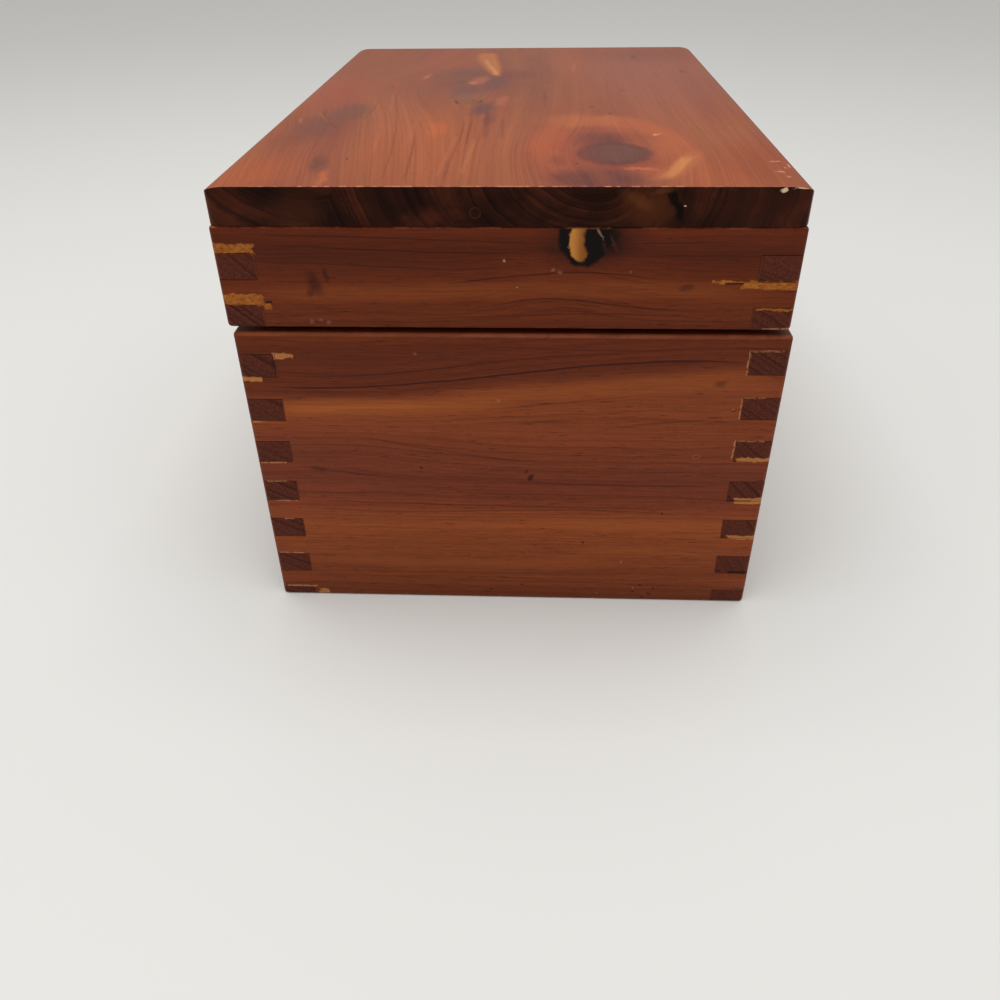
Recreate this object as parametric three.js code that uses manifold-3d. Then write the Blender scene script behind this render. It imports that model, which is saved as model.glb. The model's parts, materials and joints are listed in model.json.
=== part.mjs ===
// Recipe card box in aromatic red cedar, with finger-jointed corners and a hinged lid.
//
// The maker glues four walls and a knotty top board into one closed carcase and then saws the lid
// free, so the fingers run on in step from the lid into the body, with only the saw cut missing.
// Two brass butt hinges lie flat on the sawn edges, with no mortises, so their two leaves hold the
// lid off the body by the thickness of both.
//
// Millimetres. X runs along the box, -Y is the front, +Y is the hinged back and +Z is up.
// The origin is the centre of the base. "Left" and "right" are as seen from the front.

import * as THREE from "three";
import { mergeVertices } from "three/addons/utils/BufferGeometryUtils.js";
import Module from "manifold-3d";

const wasm = await Module();
wasm.setup();

// Carcase
const boxLength = 162;
const boxDepth = 108;
const carcaseHeight = 87.15;
const wallThickness = 7.6;
const lidRimHeight = 19.5;
const topBoardThickness = 6.95;

// Finger joints, counted in zones from the carcase's top edge. In the body, the two front corners
// stand a little higher than that.
const fingerHeight = 5;
const fingerGap = 0.12;
const shoulderGap = 0.12;
const glueLine = 0.1;
const frontFingerRise = 1.4;

// Sanding: the corners that run up the box, the edges round each frame, the lid's two ends, and the
// top board, whose corners are rounder and whose long edges fall away gently before they turn
const cornerRadius = 1.1;
const frameArris = 0.6;
const lidEndSanding = 0.5;
const topCornerRadius = 2.4;
const topRoundWidth = 4.2;
const topRoundHeight = 1.5;
const topBoardArris = 0.5;

// Bottom panel, dropped into a rabbet that is routed round the inside of the walls
const panelThickness = 4;
const rabbetDepth = 3.5;
const rabbetCornerRadius = 4;
const panelClearance = 0.2;

// The lid sits a little behind the body on its hinges
const lidShift = 0.8;

// Butt hinges
const hingeLength = 25;
const hingeInset = 22;
const leafThickness = 0.5;
const leafClearance = 0.1;
const leafMargin = 0.4;
const leafCornerRadius = 0.8;
const knuckleCount = 5;
const knuckleGap = 0.2;
const barrelClearance = 0.2;
const notchClearance = 0.25;
const pinRadius = 0.7;
const pinClearance = 0.08;
const pinProud = 0.3;
const pinChamfer = 0.2;

// Countersunk wood screws
const screwHeadRadius = 1.7;
const screwShankRadius = 0.8;
const screwHeadHeight = 0.9;
const screwLength = 9;
const screwTipLength = 2.2;
const screwTipRadius = 0.15;
const screwSpacing = 14;
const screwClearance = 0.06;
const slotWidth = 0.45;
const slotDepth = 0.35;

// How far a cut runs past what it cuts
const overrun = 2;

// Steps round a full circle, and in one sanded quarter round
const circleSteps = 24;
const quarterSteps = 3;

// Sizes that follow
const lidGap = 2 * leafThickness + leafClearance;
const bodyHeight = carcaseHeight - lidRimHeight - lidGap;
const lidBase = bodyHeight + lidGap;
const innerLength = boxLength - 2 * wallThickness;
const innerDepth = boxDepth - 2 * wallThickness;
const boreRadius = pinRadius + pinClearance;
const barrelRadius = boreRadius + leafThickness;
const hingeAxisY = boxDepth / 2 + lidShift + barrelClearance + barrelRadius;
const hingeAxisZ = bodyHeight + lidGap / 2;
const leafInnerEdge = boxDepth / 2 + lidShift - wallThickness + leafMargin;
const leafReach = hingeAxisY - leafInnerEdge;
const hingeCentreX = boxLength / 2 - hingeInset - hingeLength / 2;
const screwY = (leafInnerEdge + boxDepth / 2) / 2;

const cedar = { color: 0x7a3b1f, roughness: 0.5, metalness: 0 };
const knottyCedar = { color: 0xa35738, roughness: 0.42, metalness: 0 };
const plainCedar = { color: 0x9c6038, roughness: 0.65, metalness: 0 };
const brass = { color: 0xb08a45, roughness: 0.38, metalness: 1 };

// A closed three.js geometry as a solid for cutting and joining.
function toSolid(geometry) {
  const bare = geometry.clone();
  bare.deleteAttribute("normal");
  bare.deleteAttribute("uv");
  const merged = mergeVertices(bare, 1e-4);
  return new wasm.Manifold(
    new wasm.Mesh({
      numProp: 3,
      vertProperties: merged.attributes.position.array,
      triVerts: new Uint32Array(merged.index.array),
    }),
  );
}

// A cut or joined solid as a three.js geometry again.
function toGeometry(solid) {
  const mesh = solid.getMesh();
  const geometry = new THREE.BufferGeometry();
  geometry.setAttribute("position", new THREE.BufferAttribute(mesh.vertProperties, 3));
  geometry.setIndex(new THREE.BufferAttribute(mesh.triVerts, 1));
  geometry.computeVertexNormals();
  return geometry;
}

function makeMesh(name, geometry, finish) {
  const mesh = new THREE.Mesh(geometry, new THREE.MeshStandardMaterial(finish));
  mesh.name = name;
  return mesh;
}

// A rectangle centred on the origin, with round corners.
function roundedRectangle(width, height, radius) {
  const x = width / 2;
  const y = height / 2;
  const shape = new THREE.Shape();
  shape.moveTo(-x + radius, -y);
  shape.lineTo(x - radius, -y);
  shape.absarc(x - radius, -y + radius, radius, -Math.PI / 2, 0);
  shape.lineTo(x, y - radius);
  shape.absarc(x - radius, y - radius, radius, 0, Math.PI / 2);
  shape.lineTo(-x + radius, y);
  shape.absarc(-x + radius, y - radius, radius, Math.PI / 2, Math.PI);
  shape.lineTo(-x, -y + radius);
  shape.absarc(-x + radius, -y + radius, radius, Math.PI, 1.5 * Math.PI);
  return shape;
}

// The block that sanding leaves of a frame: round corners up its height and soft edges above and
// below. Its base is at z 0. endSanding is what the two ends have lost.
function sandedBlock(height, endSanding) {
  const shape = roundedRectangle(
    boxLength - 2 * endSanding - 2 * frameArris,
    boxDepth - 2 * frameArris,
    cornerRadius - frameArris,
  );
  const block = new THREE.ExtrudeGeometry(shape, {
    depth: height - 2 * frameArris,
    bevelThickness: frameArris,
    bevelSize: frameArris,
    bevelSegments: quarterSteps,
    curveSegments: quarterSteps,
  });
  block.translate(0, 0, frameArris);
  return toSolid(block);
}

// One end of a wall seen from its side, from the base up: the wall's own fingers reach its full
// length, and the neighbour's fingers fill the sockets between them. The zones are counted down
// from combTop.
function fingeredEnd(length, low, high, oddZones, combTop) {
  const reach = length / 2;
  const shoulder = reach - wallThickness - shoulderGap;
  const points = [];
  const zones = Math.ceil(combTop / fingerHeight);
  for (let zone = zones - 1; zone >= 0; zone--) {
    const own = zone % 2 === (oddZones ? 1 : 0);
    const trim = own ? fingerGap / 2 : -fingerGap / 2;
    const zoneTop = combTop - zone * fingerHeight - trim;
    const zoneBase = combTop - (zone + 1) * fingerHeight + trim;
    const top = zone === 0 ? high : Math.min(zoneTop, high);
    const base = Math.max(zoneBase, low);
    if (top <= base) continue;
    const x = own ? reach : shoulder;
    points.push(new THREE.Vector2(x, base), new THREE.Vector2(x, top));
  }
  return points;
}

// One wall of the front and back pair or of the end pair, as cut from the carcase between two
// heights and set with its lower edge at z 0. side is -1 at the front or left and 1 opposite.
// Fingers of the end walls stand in the even zones and those of the front and back walls in the
// odd ones. frontRise lifts the joints of the two front corners.
function wallSolid(along, side, low, high, frontRise, endSanding) {
  const alongX = along === "x";
  const length = alongX ? boxLength : boxDepth;
  const frontTop = carcaseHeight + frontRise;
  const startTop = alongX && side > 0 ? carcaseHeight : frontTop;
  const endTop = alongX && side < 0 ? frontTop : carcaseHeight;
  const start = fingeredEnd(length, low, high, alongX, startTop);
  const end = fingeredEnd(length, low, high, alongX, endTop);
  const outline = new THREE.Shape([
    ...end,
    ...start.map((p) => new THREE.Vector2(-p.x, p.y)).reverse(),
  ]);
  const wall = new THREE.ExtrudeGeometry(outline, { depth: wallThickness, bevelEnabled: false });
  wall.translate(0, -low, -wallThickness / 2);
  wall.rotateX(Math.PI / 2);
  if (!alongX) wall.rotateZ(Math.PI / 2);
  const offset = (side * ((alongX ? boxDepth : boxLength) - wallThickness)) / 2;
  wall.translate(alongX ? 0 : offset, alongX ? offset : 0, 0);
  return toSolid(wall).intersect(sandedBlock(high - low, endSanding));
}

// The room for the bottom panel, open below, or with a negative clearance the panel itself.
function panelRoom(height, clearance, depthBelow) {
  const shape = roundedRectangle(
    innerLength + 2 * rabbetDepth + 2 * clearance,
    innerDepth + 2 * rabbetDepth + 2 * clearance,
    rabbetCornerRadius,
  );
  const room = new THREE.ExtrudeGeometry(shape, {
    depth: height + depthBelow,
    bevelEnabled: false,
    curveSegments: 2 * quarterSteps,
  });
  room.translate(0, 0, -depthBelow);
  return room;
}

// A revolved profile that stands on +Z.
function revolve(points) {
  const profile = points.map(([radius, z]) => new THREE.Vector2(radius, z));
  const turned = new THREE.LatheGeometry(profile, circleSteps);
  turned.rotateX(Math.PI / 2);
  return turned;
}

// A screw, or with a clearance its pilot hole. The flat of the head is at z 0 and the point below.
function screwProfile(clearance, headRise) {
  const headRadius = screwHeadRadius + clearance;
  const shankRadius = screwShankRadius + clearance;
  const tipStart = -(screwLength - screwTipLength);
  const head = headRise ? [[0, headRise], [headRadius, headRise]] : [[0, 0]];
  return [
    [0, -screwLength - clearance],
    [screwTipRadius + clearance, -screwLength - clearance],
    [shankRadius, tipStart],
    [shankRadius, -screwHeadHeight],
    [headRadius, 0],
    ...head.reverse(),
  ];
}

function screwGeometry() {
  const slot = new THREE.BoxGeometry(
    2 * screwHeadRadius + overrun,
    slotWidth,
    2 * slotDepth,
  );
  return toGeometry(toSolid(revolve(screwProfile(0, 0))).subtract(toSolid(slot)));
}

// Where the screws stand along the box, for both hinges.
const screwPlaces = [];
for (const side of [-1, 1]) {
  for (const step of [-1, 1]) {
    screwPlaces.push(side * hingeCentreX + (step * screwSpacing) / 2);
  }
}

// Pilot holes into an edge. pointUp is for the lid, whose screws go upwards. headZ is the height of
// the screw heads.
function drillHoles(solid, y, headZ, pointUp) {
  let drilled = solid;
  for (const x of screwPlaces) {
    const hole = revolve(screwProfile(screwClearance, overrun));
    if (pointUp) hole.rotateX(Math.PI);
    hole.translate(x, y, headZ);
    drilled = drilled.subtract(toSolid(hole));
  }
  return drilled;
}

// The top board: its outline seen from the end is flat below and falls away at both upper corners,
// and its four upright corners are sanded rounder than the rims' below them.
function topBoardGeometry() {
  const x = boxDepth / 2;
  const top = topBoardThickness;
  const outline = new THREE.Shape();
  outline.moveTo(-x + topBoardArris, 0);
  outline.lineTo(x - topBoardArris, 0);
  outline.absarc(x - topBoardArris, topBoardArris, topBoardArris, -Math.PI / 2, 0);
  outline.lineTo(x, top - topRoundHeight);
  outline.absellipse(
    x - topRoundWidth, top - topRoundHeight, topRoundWidth, topRoundHeight, 0, Math.PI / 2,
  );
  outline.lineTo(-x + topRoundWidth, top);
  outline.absellipse(
    -x + topRoundWidth, top - topRoundHeight, topRoundWidth, topRoundHeight, Math.PI / 2, Math.PI,
  );
  outline.lineTo(-x, topBoardArris);
  outline.absarc(-x + topBoardArris, topBoardArris, topBoardArris, Math.PI, 1.5 * Math.PI);
  const length = boxLength - 2 * lidEndSanding;
  const board = new THREE.ExtrudeGeometry(outline, {
    depth: length,
    bevelEnabled: false,
    curveSegments: 2 * quarterSteps,
  });
  board.translate(0, 0, -length / 2);
  board.rotateX(Math.PI / 2);
  board.rotateZ(Math.PI / 2);
  const plan = new THREE.ExtrudeGeometry(roundedRectangle(length, boxDepth, topCornerRadius), {
    depth: top + 2 * overrun,
    bevelEnabled: false,
    curveSegments: 2 * quarterSteps,
  });
  plan.translate(0, 0, -overrun);
  return toGeometry(toSolid(board).intersect(toSolid(plan)));
}

function bodyWalls() {
  const rabbet = toSolid(panelRoom(panelThickness + glueLine, 0, overrun));
  const wall = (along, side) =>
    wallSolid(along, side, 0, bodyHeight, frontFingerRise, 0).subtract(rabbet);
  const back = drillHoles(wall("x", 1), screwY, bodyHeight + leafThickness, false);
  return {
    body_front_wall: wall("x", -1),
    body_back_wall: back,
    body_left_wall: wall("y", -1),
    body_right_wall: wall("y", 1),
  };
}

function lidRims() {
  const rim = (along, side) =>
    wallSolid(along, side, lidBase, carcaseHeight, 0, lidEndSanding);
  const back = drillHoles(rim("x", 1), screwY - lidShift, -leafThickness, true);
  return {
    lid_front_rim: rim("x", -1),
    lid_back_rim: back,
    lid_left_rim: rim("y", -1),
    lid_right_rim: rim("y", 1),
  };
}

// The stretch of the barrel that knuckle number i fills, with half a gap at each of its ends.
function knuckleSpan(i) {
  const pitch = hingeLength / knuckleCount;
  const start = -hingeLength / 2 + i * pitch;
  const low = i === 0 ? start : start + knuckleGap / 2;
  const high = i === knuckleCount - 1 ? start + pitch : start + pitch - knuckleGap / 2;
  return [low, high];
}

function rodAlongX(radius, low, high) {
  const rod = new THREE.CylinderGeometry(radius, radius, high - low, circleSteps);
  rod.rotateZ(Math.PI / 2);
  rod.translate((low + high) / 2, 0, 0);
  return toSolid(rod);
}

// One hinge leaf, about the pin's axis: a plate from the barrel inwards, to -Y, and every second
// knuckle. The body's leaf is the lower one and has the outer knuckles. The lid's leaf is the same
// stamping turned over, with the knuckles in between.
function leafSolid(forLid) {
  const plateShape = roundedRectangle(hingeLength, leafReach, leafCornerRadius);
  const plate = new THREE.ExtrudeGeometry(plateShape, {
    depth: leafThickness,
    bevelEnabled: false,
    curveSegments: quarterSteps,
  });
  const plateBase = forLid ? leafClearance / 2 : -leafClearance / 2 - leafThickness;
  plate.translate(0, -leafReach / 2, plateBase);
  let leaf = toSolid(plate);
  const notchReach = barrelRadius + notchClearance;
  for (let i = 0; i < knuckleCount; i++) {
    const [low, high] = knuckleSpan(i);
    const own = i % 2 === (forLid ? 1 : 0);
    if (own) {
      leaf = leaf.add(rodAlongX(barrelRadius, low, high));
      continue;
    }
    const notchLow = i === 0 ? low - overrun : low - knuckleGap;
    const notchHigh = i === knuckleCount - 1 ? high + overrun : high + knuckleGap;
    const notch = new THREE.BoxGeometry(notchHigh - notchLow, 2 * notchReach, 2 * notchReach);
    notch.translate((notchLow + notchHigh) / 2, 0, 0);
    leaf = leaf.subtract(toSolid(notch));
  }
  leaf = leaf.subtract(rodAlongX(boreRadius, -hingeLength, hingeLength));
  for (const step of [-1, 1]) {
    const hole = revolve(screwProfile(screwClearance, overrun));
    if (forLid) hole.rotateX(Math.PI);
    hole.translate((step * screwSpacing) / 2, screwY - hingeAxisY, leafHeadZ(forLid));
    leaf = leaf.subtract(toSolid(hole));
  }
  return leaf;
}

// The face of a leaf that the screw heads lie flush with, above or below the pin's axis.
function leafHeadZ(forLid) {
  return forLid ? leafClearance / 2 : -leafClearance / 2;
}

function pinGeometry() {
  const half = hingeLength / 2 + pinProud;
  const pin = revolve([
    [0, -half],
    [pinRadius - pinChamfer, -half],
    [pinRadius, -half + pinChamfer],
    [pinRadius, half - pinChamfer],
    [pinRadius - pinChamfer, half],
    [0, half],
  ]);
  pin.rotateY(Math.PI / 2);
  return pin;
}

// The screws of one leaf, flush in their countersinks.
function leafScrews(prefix, forLid) {
  const screws = [];
  let number = 1;
  for (const step of [-1, 1]) {
    const screw = makeMesh(`${prefix}_screw_${number}`, screwGeometry(), brass);
    screw.position.set((step * screwSpacing) / 2, screwY - hingeAxisY, leafHeadZ(forLid));
    if (forLid) screw.rotation.x = Math.PI;
    screws.push(screw);
    number += 1;
  }
  return screws;
}

const body = new THREE.Group();
for (const [name, solid] of Object.entries(bodyWalls())) {
  body.add(makeMesh(name, toGeometry(solid), cedar));
}
body.add(
  makeMesh("body_bottom_panel", panelRoom(panelThickness, -panelClearance, 0), plainCedar),
);

const lid = new THREE.Group();
lid.position.set(0, lidShift, lidBase);
for (const [name, solid] of Object.entries(lidRims())) {
  lid.add(makeMesh(name, toGeometry(solid), cedar));
}
const topBoard = makeMesh("lid_top_board", topBoardGeometry(), knottyCedar);
topBoard.position.z = lidRimHeight + glueLine;
lid.add(topBoard);

const box = new THREE.Group();
box.add(body, lid);
for (const [side, place] of [["left", -1], ["right", 1]]) {
  const hinge = new THREE.Group();
  hinge.position.set(place * hingeCentreX, hingeAxisY, hingeAxisZ);
  hinge.add(
    makeMesh(`${side}_hinge_body_leaf`, toGeometry(leafSolid(false)), brass),
    makeMesh(`${side}_hinge_lid_leaf`, toGeometry(leafSolid(true)), brass),
    makeMesh(`${side}_hinge_pin`, pinGeometry(), brass),
    ...leafScrews(`${side}_hinge_body`, false),
    ...leafScrews(`${side}_hinge_lid`, true),
  );
  box.add(hinge);
}

export default box;
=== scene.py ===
# %% [markdown]
# # A cedar recipe card box
#
# The box is four boards of aromatic red cedar, finger-jointed into one carcase that was then sawn
# in two for a lid, with a knotty board glued on top. Nearly everything the eye reads on it is
# wood: growth lines that bend round knots, purple-brown end grain, ochre filler in the joints. So
# this lesson spends its effort on one thing, a solid wood pattern that each board cuts through.
#
# The solids come from the packed model and stay where they are. Each one gets a merged copy with
# eased edges, and the copies get the materials.

# %% Load the packed box
import json
import math

import bpy
import numpy
from mathutils import Matrix, Vector

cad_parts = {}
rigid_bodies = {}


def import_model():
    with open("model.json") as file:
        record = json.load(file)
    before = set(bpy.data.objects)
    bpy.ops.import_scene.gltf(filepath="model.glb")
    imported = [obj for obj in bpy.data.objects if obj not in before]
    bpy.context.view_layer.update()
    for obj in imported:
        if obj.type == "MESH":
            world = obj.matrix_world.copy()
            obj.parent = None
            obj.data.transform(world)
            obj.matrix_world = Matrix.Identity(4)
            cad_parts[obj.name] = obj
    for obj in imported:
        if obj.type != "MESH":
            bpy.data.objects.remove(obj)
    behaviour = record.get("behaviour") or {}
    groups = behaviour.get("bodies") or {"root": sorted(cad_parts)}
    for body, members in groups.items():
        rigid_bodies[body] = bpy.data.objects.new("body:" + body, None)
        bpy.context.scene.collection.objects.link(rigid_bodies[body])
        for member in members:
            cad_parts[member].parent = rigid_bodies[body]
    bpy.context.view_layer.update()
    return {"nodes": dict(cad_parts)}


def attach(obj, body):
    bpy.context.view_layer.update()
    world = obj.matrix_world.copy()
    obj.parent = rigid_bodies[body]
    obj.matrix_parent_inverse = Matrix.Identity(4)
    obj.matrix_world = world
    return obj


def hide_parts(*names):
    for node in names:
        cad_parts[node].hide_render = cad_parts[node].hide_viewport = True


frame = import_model()
mm = 0.001

# %% [markdown]
# ## The camera
#
# The photographer stood close to one short end of the box and looked down at it. The camera is
# placed from numbers that say the same: where it is, how far it looks down, how far it is turned
# to the side, and how much it leans.

# %% Camera
camera_place = Vector((-235.99, -5.45, 136.75)) * mm
look_down = math.radians(35.03)
turned = math.radians(-2.853)
leaning = math.radians(0.795)
focal_share = 0.8725
near_clip = 10 * mm

forward = Vector((
    math.cos(turned) * math.cos(look_down),
    -math.sin(turned) * math.cos(look_down),
    -math.sin(look_down),
))
level_right = Vector((-math.sin(turned), -math.cos(turned), 0))
level_down = forward.cross(level_right)
right = level_right * math.cos(leaning) + level_down * math.sin(leaning)
down = level_down * math.cos(leaning) - level_right * math.sin(leaning)

bpy.ops.object.select_all(action="DESELECT")
bpy.ops.object.camera_add(location=camera_place)
camera = bpy.context.object
camera.name = "camera"
camera.data.lens = focal_share * camera.data.sensor_width
camera.data.clip_start = near_clip
turn = Matrix((right, -down, -forward)).transposed()
camera.matrix_world = Matrix.Translation(camera_place) @ turn.to_4x4()
bpy.context.scene.camera = camera
print("camera at", [round(c, 3) for c in camera_place], "lens", round(camera.data.lens, 1))

# %% [markdown]
# ## Light and floor
#
# The box stood on pale paper under one broad, soft light. A rectangular lamp overhead does the
# same, and the world adds an even, slightly warm fill, so the end that faces the camera isn't lost
# in shade. Several small lamps would need balancing and leave crossed shadows. The view transform
# is Standard, so a colour comes out about as it is written.

# %% World and lamp
scene = bpy.context.scene
scene.view_settings.view_transform = "Standard"
fill_strength = 0.585
fill_colour = (1.0, 0.988, 0.958, 1)
lamp_place = Vector((-120, 50, 750)) * mm
lamp_side = 700 * mm
lamp_watts = 3.4
lamp_colour = (1.0, 1.0, 0.99)

world = bpy.data.worlds.new("soft_room")
scene.world = world
world.use_nodes = True
sky = world.node_tree.nodes["Background"]
sky.inputs["Color"].default_value = fill_colour
sky.inputs["Strength"].default_value = fill_strength

bpy.ops.object.light_add(type="AREA", location=lamp_place)
lamp = bpy.context.object
lamp.name = "softbox"
lamp.data.shape = "RECTANGLE"
lamp.data.size = lamp_side
lamp.data.size_y = lamp_side
lamp.data.energy = lamp_watts
lamp.data.color = lamp_colour
print("lamp", lamp.data.energy, "W at", [round(c, 2) for c in lamp.location])

# %% Floor
floor_side = 12
floor_steps = 8

bpy.ops.object.select_all(action="DESELECT")
bpy.ops.mesh.primitive_grid_add(
    x_subdivisions=floor_steps, y_subdivisions=floor_steps, size=floor_side
)
floor = bpy.context.object
floor.name = "floor"
print("floor faces:", len(floor.data.polygons))

# %% [markdown]
# ## A small language for patterns
#
# A wood pattern is arithmetic on the place of a point, and written node by node it is hard to
# read. `Finish` builds one material, and `Field` wraps a socket so that sums and products of
# sockets can be written as sums and products. Every operation still makes an ordinary Math node.

# %% Fields
class Field:
    """A number that varies over the surface, kept as the socket of the node that gives it."""

    def __init__(self, pattern, socket):
        self.pattern = pattern
        self.socket = socket

    def by(self, operation, *others):
        """The field put through one more Math node."""
        return self.pattern.math(operation, self, *others)

    def __add__(self, other):
        return self.by("ADD", other)

    def __sub__(self, other):
        return self.by("SUBTRACT", other)

    def __mul__(self, other):
        return self.by("MULTIPLY", other)

    def __truediv__(self, other):
        return self.by("DIVIDE", other)

    def ease(self, zero_at, one_at):
        """0 on one side of a soft step and 1 on the other."""
        node = self.pattern.node(
            "ShaderNodeMapRange",
            {"Value": self, "From Min": zero_at, "From Max": one_at},
            interpolation_type="SMOOTHSTEP",
        )
        return Field(self.pattern, node.outputs["Result"])


print("besides sums and products, a field knows", [n for n in vars(Field) if n[0] != "_"])

# %% [markdown]
# `Pattern` makes the nodes. Each of its methods adds a node or a few to one tree, links what it is
# given as a field or a socket, sets what it is given as a number, and hands the result on.

# %% Patterns
class Pattern:
    """A node tree under construction."""

    def __init__(self, tree):
        self.tree = tree

    def node(self, kind, inputs, **settings):
        """A new node of a kind. What it is given is linked or set, and its settings are made."""
        made = self.tree.nodes.new(kind)
        for name, value in settings.items():
            setattr(made, name, value)
        for key, value in inputs.items():
            if isinstance(value, Field):
                value = value.socket
            if isinstance(value, bpy.types.NodeSocket):
                self.tree.links.new(value, made.inputs[key])
            else:
                made.inputs[key].default_value = value
        return made

    def math(self, operation, *values):
        made = self.node("ShaderNodeMath", dict(enumerate(values)), operation=operation)
        return Field(self, made.outputs[0])

    def vector(self, operation, *values, **inputs):
        """A Vector Math node's result, which is a number for a length or a dot product."""
        given = {**dict(enumerate(values)), **inputs}
        made = self.node("ShaderNodeVectorMath", given, operation=operation)
        return made.outputs["Value" if operation in ("LENGTH", "DOT_PRODUCT") else "Vector"]

    def combine(self, x, y, z):
        return self.node("ShaderNodeCombineXYZ", {0: x, 1: y, 2: z}).outputs[0]

    def split(self, vector):
        parts = self.node("ShaderNodeSeparateXYZ", {0: vector})
        return [Field(self, out) for out in parts.outputs]

    def noise(self, place, stretch, shift=0.0, detail=2.0, rough=0.5, colour=False):
        """Noise whose grains are 1/stretch millimetres long along each axis."""
        moved = self.vector("MULTIPLY_ADD", place, stretch, (shift, shift * 1.7, shift * 2.3))
        made = self.node(
            "ShaderNodeTexNoise",
            {"Vector": moved, "Scale": 1.0, "Detail": detail, "Roughness": rough},
        )
        if colour:
            return self.vector("SUBTRACT", made.outputs["Color"], (0.5, 0.5, 0.5))
        return Field(self, made.outputs["Factor" if "Factor" in made.outputs else "Fac"])

    def torn(self, place, stretch, shift, reach):
        """The place, moved about by noise, so that what is drawn on it gets torn edges."""
        about = self.noise(place, stretch, shift, 4.0, 0.63, colour=True)
        return self.vector("MULTIPLY_ADD", about, reach, place)

    def mix(self, amount, first, second, how="MIX"):
        """The first colour with an amount of the second over it."""
        made = self.node("ShaderNodeMix", {0: amount}, data_type="RGBA", blend_type=how)
        for key, value in ((6, first), (7, second)):
            if isinstance(value, bpy.types.NodeSocket):
                self.tree.links.new(value, made.inputs[key])
            else:
                made.inputs[key].default_value = (*value, 1)
        return made.outputs[2]

    def darken(self, colour, amount):
        """The colour times a number near 1."""
        grey = self.node("ShaderNodeCombineColor", {0: amount, 1: amount, 2: amount})
        return self.mix(1.0, colour, grey.outputs[0], "MULTIPLY")

    def ramp(self, value, stops):
        made = self.node("ShaderNodeValToRGB", {0: value})
        elements = made.color_ramp.elements
        while len(elements) < len(stops):
            elements.new(0.5)
        for element, (position, colour) in zip(elements, stops):
            element.position = position
            element.color = (*colour, 1)
        return made.outputs["Color"]

    def share(self, plane, centre, long, wide):
        """Distance from an oval's middle, 1 at its rim. Its axes are given divided by its size."""
        away = self.vector("SUBTRACT", plane, centre)
        reach = Field(self, self.vector("DOT_PRODUCT", away, long))
        width = Field(self, self.vector("DOT_PRODUCT", away, wide))
        return (reach * reach + width * width).by("SQRT")

    def oval(self, plane, centre, size, turned_by=0.0):
        return self.share(plane, (*centre, 0), *oval_axes(size, turned_by))


def oval_axes(size, turned_by):
    """An oval's two directions, each divided by how far the oval reaches that way."""
    across, up = math.cos(math.radians(turned_by)), math.sin(math.radians(turned_by))
    return (across / size[0], up / size[0], 0), (-up / size[1], across / size[1], 0)


print("an oval 2 by 1 has the axes", oval_axes((2.0, 1.0), 0.0))

# %% [markdown]
# A shape that is drawn many times, such as an oval stain, is made once as a node group and used
# like a stamp: it takes the colour so far and gives it back with one more mark. A hundred marks
# in one chain then stay cheap to write and cheap to render.

# %% Stamps
def stamp(name, inputs, draw):
    """A node group that lays a shade on a colour where draw's mask for these inputs is 1."""
    tree = bpy.data.node_groups.new(name, "ShaderNodeTree")
    for label, kind in {"Colour": "Color", "Shade": "Color", **inputs}.items():
        tree.interface.new_socket(label, in_out="INPUT", socket_type="NodeSocket" + kind)
    tree.interface.new_socket("Colour", in_out="OUTPUT", socket_type="NodeSocketColor")
    pattern = Pattern(tree)
    colour, shade, *given = tree.nodes.new("NodeGroupInput").outputs[:2 + len(inputs)]
    fields = [
        Field(pattern, out) if kind == "Float" else out
        for out, kind in zip(given, inputs.values())
    ]
    marked = pattern.mix(draw(pattern, *fields), colour, shade)
    tree.links.new(marked, tree.nodes.new("NodeGroupOutput").inputs[0])
    print(name, "has", len(tree.nodes), "nodes")
    return tree


def draw_oval(pattern, plane, centre, long, wide, zero_at, one_at, amount):
    return pattern.share(plane, centre, long, wide).ease(zero_at, one_at) * amount


def draw_strip(pattern, plane, low, high, soft, amount):
    across, up, _ = pattern.split(plane)
    low_across, low_up, _ = pattern.split(low)
    high_across, high_up, _ = pattern.split(high)
    inside = amount
    for value, start, stop in ((across, low_across, high_across), (up, low_up, high_up)):
        inside = inside * (value - start).ease(soft * -1.0, soft)
        inside = inside * (stop - value).ease(soft * -1.0, soft)
    return inside


def draw_streak(pattern, along, across, bend, level, reach, start, stop, fade, amount):
    """A soft line. Its place across is a cubic curve of the place along, its reach a square one."""
    cube, square, slope = pattern.split(bend)
    middle = ((along * cube + square) * along + slope) * along + level
    reach_square, reach_slope, reach_level = pattern.split(reach)
    wide = (along * reach_square + reach_slope) * along + reach_level
    share = (across - middle).by("ABSOLUTE") / wide
    ends = (along - start).ease(0.0, fade) * (stop - along).ease(0.0, fade)
    return share.ease(1.0, 0.3) * ends * amount


def trend(points, order):
    """The numbers of a smooth line near points, highest power first."""
    fit = numpy.polyfit(*zip(*points), min(order, len(points) - 1))
    return (0.0,) * (order + 1 - len(fit)) + tuple(float(number) for number in fit)


oval_stamp = stamp(
    "oval_stamp",
    {"Plane": "Vector", "Centre": "Vector", "Long": "Vector", "Wide": "Vector",
     "Zero": "Float", "One": "Float", "Amount": "Float"},
    draw_oval,
)
strip_stamp = stamp(
    "strip_stamp",
    {"Plane": "Vector", "Low": "Vector", "High": "Vector", "Soft": "Float", "Amount": "Float"},
    draw_strip,
)
streak_stamp = stamp(
    "streak_stamp",
    {"Along": "Float", "Across": "Float", "Bend": "Vector", "Level": "Float",
     "Reach": "Vector", "Start": "Float", "Stop": "Float", "Fade": "Float", "Amount": "Float"},
    draw_streak,
)

# %% [markdown]
# A finish is one material: the plain shader that Blender starts with, fed by a pattern for its
# colour, its roughness and its bump. Everything is drawn on the box's own millimetres, so two
# boards that were one board before the saw show one pattern.

# %% Finishes
soft_edge = (1.3, 0.3)
curve_half = 100.0


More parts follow.
